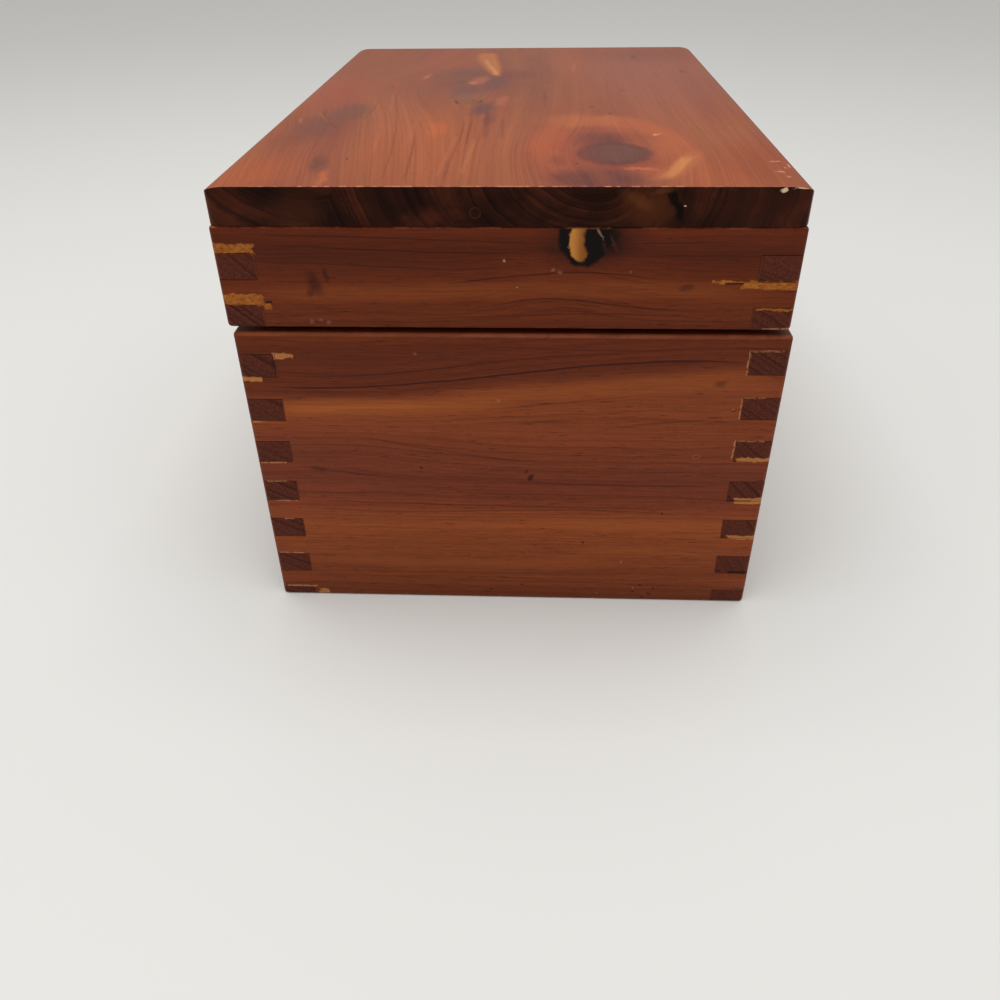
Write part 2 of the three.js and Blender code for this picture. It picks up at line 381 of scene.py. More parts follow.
class Finish(Pattern):
    """A material under construction. Places are in millimetres, in the box's own frame."""

    def __init__(self, name):
        self.material = bpy.data.materials.new(name)
        self.material.use_nodes = True
        super().__init__(self.material.node_tree)
        self.shader = self.tree.nodes["Principled BSDF"]
        self.texture_place = self.tree.nodes.new("ShaderNodeTexCoord")
        self.place = self.vector("SCALE", self.texture_place.outputs["Object"], Scale=1 / mm)
        self.x, self.y, self.z = self.split(self.place)
        self.facing = self.split(self.texture_place.outputs["Normal"])
        self.shares = {}

    def route(self, value, points):
        """The height, read at a value, of a smooth line through points. Both run from -100 to
        100 mm, which the Float Curve holds as 0 to 1."""
        def as_share(length):
            return (length + curve_half) / (2 * curve_half)

        source = (value.socket.node.name, value.socket.identifier)
        if source not in self.shares:
            self.shares[source] = as_share(value)
        made = self.node("ShaderNodeFloatCurve", {"Value": self.shares[source]})
        curve = made.mapping.curves[0]
        places = [(as_share(at), as_share(height)) for at, height in sorted(points)]
        curve.points[0].location = (0.0, places[0][1])
        curve.points[1].location = (1.0, places[-1][1])
        for place in places:
            curve.points.new(*place)
        made.mapping.update()
        return Field(self, made.outputs[0]) * (2 * curve_half) - curve_half

    def press(self, stamp_tree, colour, shade, *values):
        """The colour with one more mark, in a shade that is a colour or a socket."""
        if isinstance(shade, tuple):
            shade = (*shade, 1)
        given = dict(enumerate((colour, shade, *values)))
        return self.node("ShaderNodeGroup", given, node_tree=stamp_tree).outputs[0]

    def stain(self, colour, shade, plane, centre, size, turned_by, soft, amount):
        """An oval mark, soft between two shares of its size."""
        axes = oval_axes(size, turned_by)
        return self.press(oval_stamp, colour, shade, plane, (*centre, 0), *axes, *soft, amount)

    def stains(self, colour, plane, rows, strength=1.0):
        """A table of ovals. A row is centre, size, turn, shade and amount, and then the softness
        where that isn't the usual one."""
        for centre, size, turned_by, shade, amount, *soft in rows:
            given = (centre, size, turned_by, soft[0] if soft else soft_edge)
            colour = self.stain(colour, shade, plane, *given, strength * amount)
        return colour

    def strip(self, colour, shade, plane, corners, soft, amount):
        """A level strip given by two corners."""
        low = (*(min(a, b) for a, b in zip(*corners)), 0)
        high = (*(max(a, b) for a, b in zip(*corners)), 0)
        return self.press(strip_stamp, colour, shade, plane, low, high, soft, amount)

    def streak(self, colour, shade, along, across, points, reach, amount, fade=5.0):
        """A line near points that ends softly at its reach. The reach may be points too."""
        *bend, level = trend(points, 3)
        wide = trend(reach, 2) if isinstance(reach, list) else (0.0, 0.0, reach)
        ends = sorted((points[0][0], points[-1][0]))
        given = (along, across, tuple(bend), level, wide, *ends, fade, amount)
        return self.press(streak_stamp, colour, shade, *given)

    def wear(self, colour, height, rough, bump, specular):
        """The shader's inputs. A bump is its strength and its depth in mm."""
        self.tree.links.new(colour, self.shader.inputs["Base Color"])
        if isinstance(rough, Field):
            self.tree.links.new(rough.socket, self.shader.inputs["Roughness"])
        else:
            self.shader.inputs["Roughness"].default_value = rough
        self.shader.inputs["Specular IOR Level"].default_value = specular
        made = self.node(
            "ShaderNodeBump", {"Strength": bump[0], "Distance": bump[1] * mm, "Height": height}
        )
        self.tree.links.new(made.outputs[0], self.shader.inputs["Normal"])
        print(self.material.name, "has", len(self.tree.nodes), "nodes")
        return self.material


def rgb(red, green, blue):
    """A colour picked on a screen, 0 to 255, as the linear numbers that Blender mixes."""
    shares = [c / 255 for c in (red, green, blue)]
    return tuple(c / 12.92 if c <= 0.04045 else ((c + 0.055) / 1.055) ** 2.4 for c in shares)


print("mid grey is", [round(c, 3) for c in rgb(128, 128, 128)])

# %% [markdown]
# The paper under the box is the plainest finish: one pale grey with hardly any gloss. It is a
# little darker than white, so that the box still casts a shadow that shows.

# %% Floor finish
paper_grey = rgb(230, 230, 228)
paper_roughness = 0.9
paper_gloss = 0.2

paper = Finish("pale_paper")
paper.shader.inputs["Base Color"].default_value = (*paper_grey, 1)
paper.shader.inputs["Roughness"].default_value = paper_roughness
paper.shader.inputs["Specular IOR Level"].default_value = paper_gloss
floor.data.materials.append(paper.material)
print("floor ready:", floor.dimensions[:])

# %% [markdown]
# ## The pattern of red cedar
#
# A tree adds a ring a year round its pith, so the rings are tubes along the grain. A board cuts
# through them, and that cut is what we see: long lines on its faces, arcs on its ends. Here the
# distance from a pith line gives the ring, a slow noise makes it wander, and a knot pushes the
# place outwards round itself, so that the lines flow past it as they do in the tree.

# %% Growth rings
ring_drift = 3.4


def push_round_knots(finish, plane, knots):
    """The place on a board's face, pushed away from each knot's middle. A knot is its place along
    and across the grain, its reach in both directions, its turn and its strength."""
    for along, across, reach, width, turned_by, strength in knots:
        distance = finish.oval(plane, (along, across), (reach, width), turned_by)
        swell = (distance * distance * -1.0).by("EXPONENT") * strength
        away = finish.vector("SUBTRACT", plane, (along, across, 0))
        plane = finish.vector("SUBTRACT", plane, finish.vector("SCALE", away, Scale=swell))
    return plane


def growth_lines(finish, radius, along, spacing, seed, sharp=5.0):
    """Dark late wood at the outer side of each ring. Rings differ in width, by drifting up to
    a few rings from their place, and in strength, by the luck of the year."""
    drift = finish.noise(finish.combine(radius, along, seed), (0.23, 0.004, 1), seed, 2.0, 0.4)
    count = radius / spacing + drift * ring_drift
    ring_share = count.by("FRACT")
    luck = finish.node(
        "ShaderNodeTexWhiteNoise", {"W": count.by("FLOOR") + seed * 0.37}, noise_dimensions="1D"
    )
    strength = Field(finish, luck.outputs["Value"]).by("POWER", 1.4) * 0.8 + 0.2
    return ring_share.by("POWER", sharp) * ring_share.ease(1.0, 0.95) * strength


def fibres(finish, along, across, through, seed):
    """Fine lines along the grain, broader streaks of tone, and the short dark flecks."""
    grain = finish.combine(along, across, through)
    fine = finish.noise(grain, (0.05, 2.3, 2.3), seed, 4.0, 0.62)
    tone = finish.noise(grain, (0.006, 0.34, 0.34), seed + 6.0, 3.0, 0.55)
    flecks = finish.noise(grain, (0.3, 4.0, 4.0), seed + 3.0, 2.0, 0.5).ease(0.62, 0.72)
    return fine, tone, flecks


def within(span, rows):
    """The rows whose first place, given as across and up, lies in a span of heights."""
    def height(place):
        return height(place[0]) if isinstance(place[0], tuple) else place[1]

    return [row for row in rows if span[0] < height(row[0]) < span[1]]


print("rows from 0 to 67 mm up:", within((0.0, 67.0), [((5.0, 20.0),), ((5.0, 80.0),)]))

# %% [markdown]
# ## The wood of the walls
#
# Each wall and the lid rim above it were one board until the lid was sawn off, so they share one
# pattern, and it runs on across the saw cut. End grain drinks more varnish and turns
# purple-brown. The inside was never varnished.

# %% Colours of the walls
deep_heart = rgb(100, 43, 20)
red_heart = rgb(124, 58, 31)
orange_heart = rgb(150, 80, 38)
late_wood = rgb(58, 22, 13)
end_grain_brown = rgb(100, 45, 29)
end_grain_dark = rgb(40, 15, 12)
bare_cedar = rgb(186, 116, 76)
print("heartwood from", deep_heart, "to", orange_heart)

# %% [markdown]
# A wall's wood has four parts: how the grain is bent, the colour of the heartwood, the end grain
# and the knots. They are made apart, because the photographed end bends its grain by measured
# lines and takes its colours from measured bands, while the other walls leave both to noise.

# %% Grain, heartwood, end grain and knots
far_pith = 100.0
band_height = 95.0


def axis_fields(finish, grain):
    """Along, across and through the board, for grain along x or y."""
    if grain == "x":
        return finish.x, finish.z, finish.y
    return finish.y, finish.z, finish.x


def end_grain(finish, radius, seed):
    """Across the fibres the wood is purple-brown, with the rings as close, dark lines."""
    rings = growth_lines(finish, radius, finish.x * 0.0, 1.3, seed + 2.0, 1.6)
    pores = finish.noise(finish.place, (1.9, 1.9, 1.9), seed, 3.0, 0.6)
    shade = finish.mix(pores.ease(0.2, 0.75) * 0.7 + 0.3, end_grain_dark, end_grain_brown)
    return finish.mix(rings * 0.95, shade, end_grain_dark)


def bend_of_wall(finish, axes, seed, pith, knots, bend):
    """The height at which a growth line would lie unbent, the plane that knots are drawn on, and
    the distance to the pith. Lines whose bend is given lie flat, as round a far pith."""
    along, across, through = axes
    if bend:
        bent = bend(finish, along, across)
        wave = finish.noise(finish.combine(along, bent, 0.0), (0.035, 0.16, 1), seed, 3.0)
        return bent, None, bent + wave * 2.4 + far_pith
    wander = finish.noise(finish.combine(*axes), (0.009, 0.03, 0.03), seed, 2.0, colour=True)
    plane = finish.combine(along, across, 0.0)
    plane = finish.vector("MULTIPLY_ADD", wander, (0.0, 7.0, 0.0), plane)
    plane = push_round_knots(finish, plane, knots)
    bent = finish.split(plane)[1]
    from_pith = finish.combine(0.0, bent - pith[0], through - pith[1])
    return bent, plane, Field(finish, finish.vector("LENGTH", from_pith))


def heartwood(finish, axes, seed, bent, radius, bands, fibre):
    """The colour under the lines: measured bands, or a hue that changes slowly. The fibres and a
    fine grit make it lively."""
    fine, tone = fibre
    if bands:
        colour = finish.ramp((bent + (tone - 0.5) * 5.0) / band_height, bands)
    else:
        hue = finish.noise(finish.combine(axes[0], radius, 0.0), (0.004, 0.07, 1), seed, 2.0)
        colour = finish.ramp(
            hue, [(0.36, deep_heart), (0.5, red_heart), (0.62, red_heart), (0.74, orange_heart)]
        )
    hair = finish.noise(finish.combine(*axes), (0.2, 4.6, 4.6), seed + 8.0, 3.0, 0.7)
    grit = finish.noise(finish.place, (2.6, 2.6, 2.6), seed, 2.0, 0.6)
    return finish.darken(colour, tone * 0.5 + fine * 0.4 + hair * 0.8 + grit * 0.3 + 0.02)


def paint_knot(finish, plane, knot, colour, height, seed):
    """A small dark knot: a purple-brown eye, a darker rim of bark and an orange halo."""
    along, across, reach, width, turned_by, _ = knot
    plane = finish.torn(plane, (0.35, 0.35, 1), seed + along, (2.6, 2.6, 0))
    eye = finish.oval(plane, (along, across), (reach * 0.3, width * 0.3), turned_by)
    rings = (eye * 3.2).by("FRACT").ease(0.4, 0.9)
    halo = eye.ease(2.6, 1.0)
    colour = finish.mix(halo * 0.55, colour, rgb(160, 84, 42))
    colour = finish.mix(eye.ease(1.6, 0.95) * 0.8, colour, rgb(74, 32, 22))
    heart = finish.mix(rings * 0.5, rgb(98, 50, 34), rgb(58, 26, 20))
    colour = finish.mix(eye.ease(1.05, 0.7), colour, heart)
    return colour, height - eye.ease(1.2, 0.9)


print("the bands are shares of", band_height, "mm of height")

# %% [markdown]
# The finish of a whole wall lays them over each other: heartwood, dark late wood, knots, end grain
# where the surface faces along the grain, then what only this wall has, and the filler. The pale
# inside comes last. An inner face looks towards the middle of the box, so the place through the
# board times the normal is negative there, and that tells inside from outside.

# %% Wall finish
rim_top = 90.0
narrow_rings = 0.41
sawn_across = (0.7, 0.95)
inner_faces = (-20.0, -40.0)


def wall_finish(name, grain, seed, pith, spacing, knots=(), bend=None, bands=None, marks=None,
                joints=None, span=(0.0, rim_top)):
    """Varnished cedar for one wall and the rim above it. bend, if given, bends the grain itself,
    and bands are the colours of the heartwood from the base up. marks is a function that paints
    what only this wall has, and joints says which of the filled joints it shares. Of both, only
    what lies in the span of heights is painted."""
    finish = Finish(name)
    axes = axis_fields(finish, grain)
    along, _, through = axes
    fine, tone, flecks = fibres(finish, *axes, seed)
    bent, plane, radius = bend_of_wall(finish, axes, seed, pith, knots, bend)
    colour = heartwood(finish, axes, seed, bent, radius, bands, (fine, tone))
    broad = growth_lines(finish, radius, along, spacing, seed)
    narrow = growth_lines(finish, radius, along, spacing * narrow_rings, seed + 5.0, 3.0)
    for lines, amount in ((broad, 0.62), (narrow, 0.36), (flecks, 0.6)):
        colour = finish.mix(lines * amount, colour, late_wood)
    height = broad * -0.4 - flecks
    for knot in knots:
        colour, height = paint_knot(finish, plane, knot, colour, height, seed)
    facing_end = finish.facing[0 if grain == "x" else 1].by("ABSOLUTE").ease(*sawn_across)
    end_radius = radius if not bend else bent * 0.8 + through * 0.6
    colour = finish.mix(facing_end, colour, end_grain(finish, end_radius, seed))
    if marks:
        colour = marks(finish, colour, span)
    if joints is not None:
        colour = fill_joints(finish, colour, joints, span)
    facing_through = finish.facing[1 if grain == "x" else 0]
    inside = (through * facing_through).ease(*inner_faces)
    colour = finish.mix(inside, colour, finish.mix(0.62, colour, bare_cedar))
    rough = fine * 0.18 + 0.4 + inside * 0.25
    return finish.wear(colour, height + fine * 0.8, rough, (0.5, 0.06), 0.1)


print("walls and rims are painted up to", rim_top, "mm")

# %% [markdown]
# ## Filler in the joints
#
# The fingers were cut by machine and didn't all close. Whoever finished the box packed the gaps
# with an ochre paste, and it dried ragged. Each smear is a level strip with torn edges, in
# millimetres across the photographed end and up it.

# %% Joint filler
left_skin = (-79.6, -80.2)
filler_smears = [
    ((47.0, 82.25), (54.6, 84.1)),
    ((47.0, 72.15), (54.6, 74.3)),
    ((45.3, 71.3), (47.4, 72.6)),
    ((-54.0, 75.85), (-42.6, 77.25)),
    ((-43.0, 76.85), (-36.8, 77.35)),
    ((49.7, 56.25), (54.4, 57.25)),
    ((42.9, 61.3), (46.5, 62.35)),
    ((-47.2, 38.45), (-54.2, 39.5)),
    ((-48.0, 27.9), (-54.2, 29.3)),
    ((-47.8, 18.25), (-54.0, 19.3)),
    ((42.8, 0.3), (45.4, 1.8)),
    ((-45.6, 71.6), (-53.0, 72.0)),
]
pale_joint_lines = [
    ((50.6, 46.7), (53.2, 47.0)),
    ((47.8, 36.75), (53.2, 37.05)),
    ((48.5, 32.0), (52.8, 32.3)),
    ((46.7, 26.9), (51.7, 27.15)),
    ((48.4, 21.95), (50.4, 22.25)),
    ((47.4, 12.2), (52.9, 12.55)),
    ((45.6, 2.3), (52.6, 2.75)),
    ((-46.0, 58.5), (-46.3, 63.6)),
    ((-46.0, 63.45), (-52.6, 63.75)),
    ((-46.0, 48.6), (-46.3, 53.5)),
    ((-46.0, 53.4), (-50.6, 53.65)),
    ((-45.9, 39.4), (-46.25, 43.6)),
    ((-46.0, 43.4), (-52.0, 43.65)),
    ((-47.8, 67.65), (-53.2, 68.15)),
]
open_slits = [
    ((46.6, 57.6), (46.85, 62.0)),
    ((-39.6, 76.7), (-43.0, 77.05)),
    ((-46.4, 28.5), (-51.5, 28.75)),
    ((-46.6, 9.0), (-47.6, 9.4)),
    ((-49.2, 8.5), (-53.8, 9.25)),
    ((45.1, 72.55), (46.4, 73.1)),
]


def fill_joints(finish, colour, side, span):
    """Ochre paste, pale dried edges and the gaps that are still open, on the left end only. Side
    is 1 for the back wall's finger ends, -1 for the front wall's and 0 for the end wall."""
    def here(rows):
        return [row for row in within(span, rows) if not side or row[0][0] * side > 0]

    unfilled = colour
    face = finish.combine(finish.y, finish.z, 0.0)
    ragged = finish.torn(face, (0.5, 0.7, 1), 4.0, (3.2, 1.7, 0))
    calm = finish.torn(face, (0.5, 0.7, 1), 4.0, (0.9, 0.5, 0))
    grit = finish.noise(face, (1.2, 1.9, 1), 9.0, 3.0, 0.6)
    paste = finish.mix(grit.ease(0.3, 0.7), rgb(134, 70, 20), rgb(172, 104, 40))
    paste = finish.mix(finish.z.ease(67.0, 66.0) * 0.5, paste, rgb(190, 128, 78))
    pale = grit.ease(0.35, 0.5) * 0.8
    for corners in here(filler_smears):
        colour = finish.strip(colour, paste, ragged, corners, 0.14, 1.0)
    for corners in here(pale_joint_lines):
        colour = finish.strip(colour, rgb(186, 126, 86), calm, corners, 0.12, pale)
    for corners in here(open_slits):
        colour = finish.strip(colour, rgb(34, 10, 8), calm, corners, 0.1, 0.92)
    return finish.mix(finish.x.ease(*left_skin), unfilled, colour)


print(len(filler_smears), "smears,", len(pale_joint_lines), "pale lines,", len(open_slits), "slits")

# %% [markdown]
# ## What only the photographed end has
#
# The left end wall shows its own history. Its grain rises from the left to the right above the
# middle, an orange streak runs with it, and a knot with bark round it sits in the lid rim. The
# bends of the grain are smooth lines through a few measured places, and the colour bands, the
# streaks and the growth lines all follow them.

# %% Grain of the left end
upper_rise = [
    (54, -2.5), (47, -2.5), (40, -2.7), (32, -2.8), (25, -2.5), (18, -1.7), (10, -0.3), (0, 1.1),
    (-10, 2.0), (-20, 2.7), (-37, 3.5), (-54, 3.6),
]
lower_dip = [
    (54, 3.6), (47, 3.5), (32, 3.2), (19, 1.6), (6, 0.2), (-2, -0.5), (-10, -0.9), (-20, -0.7),
    (-30, -0.4), (-54, 0.0),
]
knot_swell = [
    (54, 0.0), (30, 0.0), (12, 0.1), (5, 0.7), (-4, 2.3), (-13, 3.1), (-20, 1.9), (-28, 0.6),
    (-40, 0.1), (-54, 0.0),
]
grain_bends = [
    # Each line with the heights between which it comes in from below and from above
    (upper_rise, (44.0, 54.0), (72.0, 64.0)),
    (lower_dip, (27.0, 38.0), (48.0, 43.0)),
    (knot_swell, (67.0, 73.0), (86.0, 81.0)),
]


def left_end_bend(finish, along, across):
    """The height at which a growth line would lie if nothing had bent it."""
    bent = across
    for points, from_below, from_above in grain_bends:
        weight = across.ease(*from_below) * across.ease(*from_above)
        bent = bent - finish.route(along, points) * weight
    return bent


print("the grain rises by", upper_rise[-1][1] - upper_rise[0][1], "mm above the middle")

# %% [markdown]
# On that grain lie the colours. Bands of heartwood run from the base to the lid, and orange streaks
# and dark late wood cross them as long, thin lines. Each line is a smooth curve through places
# that were read off the end, with its own width and strength, because no random pattern would put
# the strong lines where this board has them.

# %% Bands, streaks and lines of the left end
end_bands = [
    (0.0, rgb(112, 52, 26)),
    (0.09, rgb(126, 60, 30)),
    (0.17, rgb(138, 67, 33)),
    (0.235, rgb(148, 74, 37)),
    (0.28, rgb(126, 58, 33)),
    (0.34, rgb(114, 52, 32)),
    (0.43, rgb(126, 59, 33)),
    (0.51, rgb(136, 66, 34)),
    (0.56, rgb(130, 62, 33)),
    (0.60, rgb(104, 45, 23)),
    (0.69, rgb(98, 41, 20)),
    (0.73, rgb(104, 45, 19)),
    (0.79, rgb(110, 47, 20)),
    (0.86, rgb(84, 33, 15)),
    (0.91, rgb(96, 39, 17)),
]
streak_orange = rgb(160, 84, 38)
orange_streaks = [
    # Places across the end and up it, reach and fade in mm, strength and shade
    ([(54, 49.5), (46.7, 49.7), (39.6, 50.2), (31, 50.8), (17.4, 50.9), (8, 51.4), (-4, 52.6)],
     [(54, 2.0), (44, 2.4), (30, 3.0), (10, 2.6), (-4, 1.6)], 12.0, 0.75, streak_orange),
    ([(18, 53.2), (6, 53.6), (-8.3, 54.5), (-19.7, 54.9), (-29.7, 56.2), (-39, 57.4), (-56, 58.6)],
     [(18, 1.6), (0, 2.2), (-20, 2.8), (-34, 3.6), (-56, 3.8)], 16.0, 0.5, streak_orange),
    ([(54, 49.6), (31, 50.6), (8, 51.2)], 0.9, 16.0, 0.4, rgb(182, 102, 48)),
    ([(52, 14.8), (30, 10.6), (0, 10.0), (-30, 11.0)], 2.6, 20.0, 0.3, streak_orange),
    ([(6, 21.8), (-20, 21.6), (-52, 21.6)], 2.0, 20.0, 0.4, streak_orange),
    ([(-8, 15.0), (-30, 14.8), (-52, 14.8)], 1.8, 16.0, 0.4, streak_orange),
    ([(52, 74.6), (30, 74.2), (10, 74.8), (-8, 76.4), (-30, 74.6), (-52, 74.4)],
     2.4, 16.0, 0.3, streak_orange),
]
dark_lines = [
    # Places across the end and up it, reach in mm and strength
    ([(50, 55.3), (46.7, 55.1), (39.9, 54.9), (34.6, 54.8), (24.6, 55.1), (19.9, 55.7),
      (10.3, 57.3), (0.3, 58.7), (-9.7, 59.6), (-19.7, 60.3), (-36.9, 61.1), (-47, 61.2)],
     0.28, 0.9),
    ([(46, 57.6), (30, 57.4), (12, 60.0), (-4, 61.4), (-24, 62.8)], 0.23, 0.4),
    ([(30, 64.0), (10, 64.4), (-14, 63.6), (-40, 64.6)], 0.23, 0.3),
    ([(34, 43.9), (31.7, 43.7), (18.9, 41.2), (6, 39.1), (-1.9, 38), (-8, 37.3)], 0.28, 0.34),
    ([(46, 36.0), (34.6, 34.6), (26, 33.7), (18, 33.2)], 0.31, 0.42),
    ([(2, 46.5), (-8.3, 47.6), (-14, 47.9)], 0.2, 0.35),
    ([(6, 50.2), (-12, 52.2), (-30, 54.2)], 0.2, 0.3),
    ([(-17, 45.5), (-24.7, 46.9), (-35.4, 48), (-44, 49.1)], 0.27, 0.36),
    ([(-17, 42.3), (-30.4, 40.7), (-36, 40.4)], 0.23, 0.35),
    ([(10, 36.4), (-12, 35.6), (-44, 36.2)], 0.23, 0.3),
    ([(2, 32.8), (-20, 32.2), (-45, 32.4)], 0.31, 0.5),
    ([(12, 29.4), (-20, 29.5), (-40, 29.3)], 0.23, 0.35),
    ([(44, 27.4), (20, 26.7), (-10, 26.3), (-40, 26.0)], 0.27, 0.4),
    ([(46, 25.4), (30, 24.6), (10, 24.9), (-38, 24.5)], 0.25, 0.4),
    ([(40, 18.0), (20, 17.4), (0, 17.8)], 0.2, 0.25),
    ([(-2, 19.2), (-20, 19.0), (-42, 19.3)], 0.2, 0.25),
    ([(36, 5.6), (10, 6.2), (-14, 5.8), (-40, 6.4)], 0.23, 0.28),
    ([(48, 83.6), (28, 83.1), (10, 82.5), (-7, 82.6)], 0.23, 0.7),
    ([(48, 85.6), (30, 85.4), (6, 84.6), (-8, 84.2)], 0.22, 0.6),
    ([(48, 80.2), (26, 80.0), (10, 79.4), (-2, 80.0)], 0.2, 0.5),
    ([(48, 77.2), (38, 76.8), (28, 77.0)], 0.23, 0.4),
    ([(14, 76.3), (10.3, 76.7), (2, 77.7), (-5.4, 78.5), (-15.4, 79.2), (-22.6, 77.9),
      (-30, 77.0)], 0.22, 0.7),
    ([(6, 71.0), (3.1, 71.7), (-4.7, 73.5), (-11.9, 73.9), (-19.7, 72.4), (-36, 72.1)],
     0.23, 0.65),
    ([(20, 69.4), (4, 69.8), (-12, 71.4), (-24, 70.2), (-40, 69.8)], 0.22, 0.45),
    ([(-18, 84.0), (-30, 84.4), (-44, 84.2)], 0.22, 0.6),
    ([(-20, 81.8), (-32, 82.0), (-45, 82.2)], 0.2, 0.5),
    ([(-26, 79.6), (-36, 79.2), (-45, 79.4)], 0.2, 0.3),
]
print(len(orange_streaks), "orange streaks and", len(dark_lines), "dark lines")

# %% [markdown]
# The knot in the rim is a dead branch: smoky wood, a ring of black bark, and inside it a crescent
# of ochre filler. Smudges, pin knots and small bruises lie about it. They are all ovals, drawn from
# the broadest to the finest, with edges that noise has torn.

# %% Knot, smudges and specks of the left end
pale_dust = rgb(176, 140, 112)
smoke = rgb(44, 20, 16)
knot_bark = [
    # Centre across and up, size, turn, shade, amount and softness
    ((-15.0, 84.8), (9.6, 5.8), -10, rgb(44, 17, 10), 0.8, (1.3, 0.25)),
    ((-13.7, 85.2), (4.8, 5.0), 0, rgb(11, 6, 5), 0.97, (1.08, 0.9)),
    ((-17.4, 85.4), (2.9, 4.2), -24, rgb(14, 7, 5), 0.85, (1.2, 0.4)),
]
knot_splinters = [
    ((-18.9, 84.2), (0.45, 2.0), -24, rgb(72, 34, 20), 0.7, (1.2, 0.3)),
    ((-17.2, 83.6), (0.35, 1.6), -20, rgb(60, 30, 18), 0.6, (1.2, 0.3)),
    ((-16.2, 86.2), (0.25, 1.5), -30, rgb(150, 120, 96), 0.6, (1.2, 0.3)),
]
crescent_place = (-12.7, 84.3)
smudges = [
    ((36.4, 76.6), (1.3, 2.6), -20, smoke, 0.6),
    ((34.4, 78.2), (0.5, 1.7), -14, smoke, 0.6),
    ((37.4, 75.0), (0.9, 1.2), 10, smoke, 0.5),
    ((-32.6, 76.0), (1.4, 0.9), 0, rgb(58, 24, 18), 0.5),
    ((-8.0, 82.8), (2.2, 0.9), 10, rgb(52, 22, 14), 0.5),
    ((-41.5, 56.6), (1.8, 0.8), -12, rgb(74, 34, 22), 0.55),
    ((41.0, 35.6), (1.8, 0.7), 10, rgb(58, 24, 18), 0.5),
]
pin_knots = [
    (-16.3, 16.6), (4.7, 2.6), (-2.6, 4.1), (-31.9, 2.0), (-15.9, 0.6), (19.0, 36.2),
    (-44.7, 50.6), (-33.0, 25.0), (-30.6, 1.0), (-28.4, 2.6), (-32.8, 3.6), (-29.6, 4.4),
]
pale_specks = [
    # Places across and up, size and strength
    (1.0, 81.0, 0.25, 0.7), (-1.5, 75.9, 0.2, 0.5), (-9.4, 78.9, 0.4, 0.25),
    (-8.0, 79.3, 0.35, 0.25), (-22.2, 79.0, 0.25, 0.2), (18.6, 62.6, 0.3, 0.2),
    (2.4, 52.4, 0.5, 0.2), (-25.0, 11.3, 0.3, 0.35), (-28.3, 3.7, 0.25, 0.35),
    (-20.0, 1.9, 0.25, 0.3), (-44.7, 50.9, 0.25, 0.45), (38.0, 68.9, 0.5, 0.18),
    (36.2, 69.3, 0.4, 0.2), (34.8, 68.8, 0.45, 0.2), (49.5, 68.2, 0.6, 0.25),
]
small_marks = [
    ((-4.4, 33.9), (0.6, 1.1), 20, rgb(40, 16, 12), 0.85),
    ((-3.4, 35.4), (0.4, 0.7), 20, rgb(50, 20, 16), 0.6),
    *((place, (0.4, 0.36), 0, rgb(40, 14, 10), 0.8) for place in pin_knots),
    *(((across, up), (size * 1.2, size), 0, pale_dust, amount, (1.2, 0.3))
      for across, up, size, amount in pale_specks),
]
ring_dent = (-38.6, 39.6)
print(len(knot_bark + knot_splinters + smudges + small_marks), "ovals on the left end")

# %% [markdown]
# The marks are painted in the order in which they came to be: the lines grew first, the branch
# died in them, and dirt, dents and wear came with use, with a painted highlight along the
# body's top arris laid on with the wear. Only the skin of the end gets them, so that the inner
# face of the same board stays clean.

# %% Marks on the left end
def lay_lines(finish, colour, face, fibre, span):
    """The orange streaks and, over them, the strong growth lines."""
    along, wavy, _ = finish.split(finish.torn(face, (0.1, 0.5, 1), 11.0, (1.0, 1.6, 0)))
    even = wavy * 0.35 + finish.z * 0.65
    broken = fibre.ease(0.25, 0.65) * 0.6 + 0.4
    for points, reach, fade, amount, shade in within(span, orange_streaks):
        colour = finish.streak(colour, shade, along, wavy, points, reach, broken * amount, fade)
    for points, reach, amount in within(span, dark_lines):
        colour = finish.streak(colour, late_wood, along, even, points, reach, amount, 9.0)
    return colour


def lay_crescent(finish, colour, torn_face, fine_face):
    """An oval of filler with a bite out of its right side."""
    shade = finish.mix(finish.y.ease(-13.6, -11.2), rgb(138, 80, 32), rgb(192, 128, 58))
    bite = finish.oval(torn_face, (-15.7, 84.8), (2.5, 4.0)).ease(0.75, 1.05)
    given = (crescent_place, (2.0, 3.6), -4, (1.05, 0.85))
    return finish.stain(colour, shade, fine_face, *given, bite)


def lay_worn_and_lit_arrises(finish, colour, face):
    """Pale worn wood along the glue line and at the lid's foot. Along the top of the body it is a
    painted highlight of the arris, with wear on it.
    """
    up = finish.z
    worn = finish.noise(face, (0.16, 0.4, 1), 20.0, 4.0, 0.7).ease(0.42, 0.62)
    # A steady pale line on the body's arris is a painted highlight, and the worn noise adds wear to
    # it.
    body_arris_wear_and_highlight = up.ease(65.9, 66.2) * up.ease(66.8, 66.5)
    glue_arris = up.ease(86.75, 87.0) * up.ease(87.6, 87.2)
    lid_foot = up.ease(67.3, 67.6) * up.ease(68.3, 67.8)
    pale = body_arris_wear_and_highlight * (worn * 0.25 + 0.2) + glue_arris * worn * 0.9 + lid_foot * worn * 0.3
    return finish.mix(pale, colour, rgb(150, 84, 54))


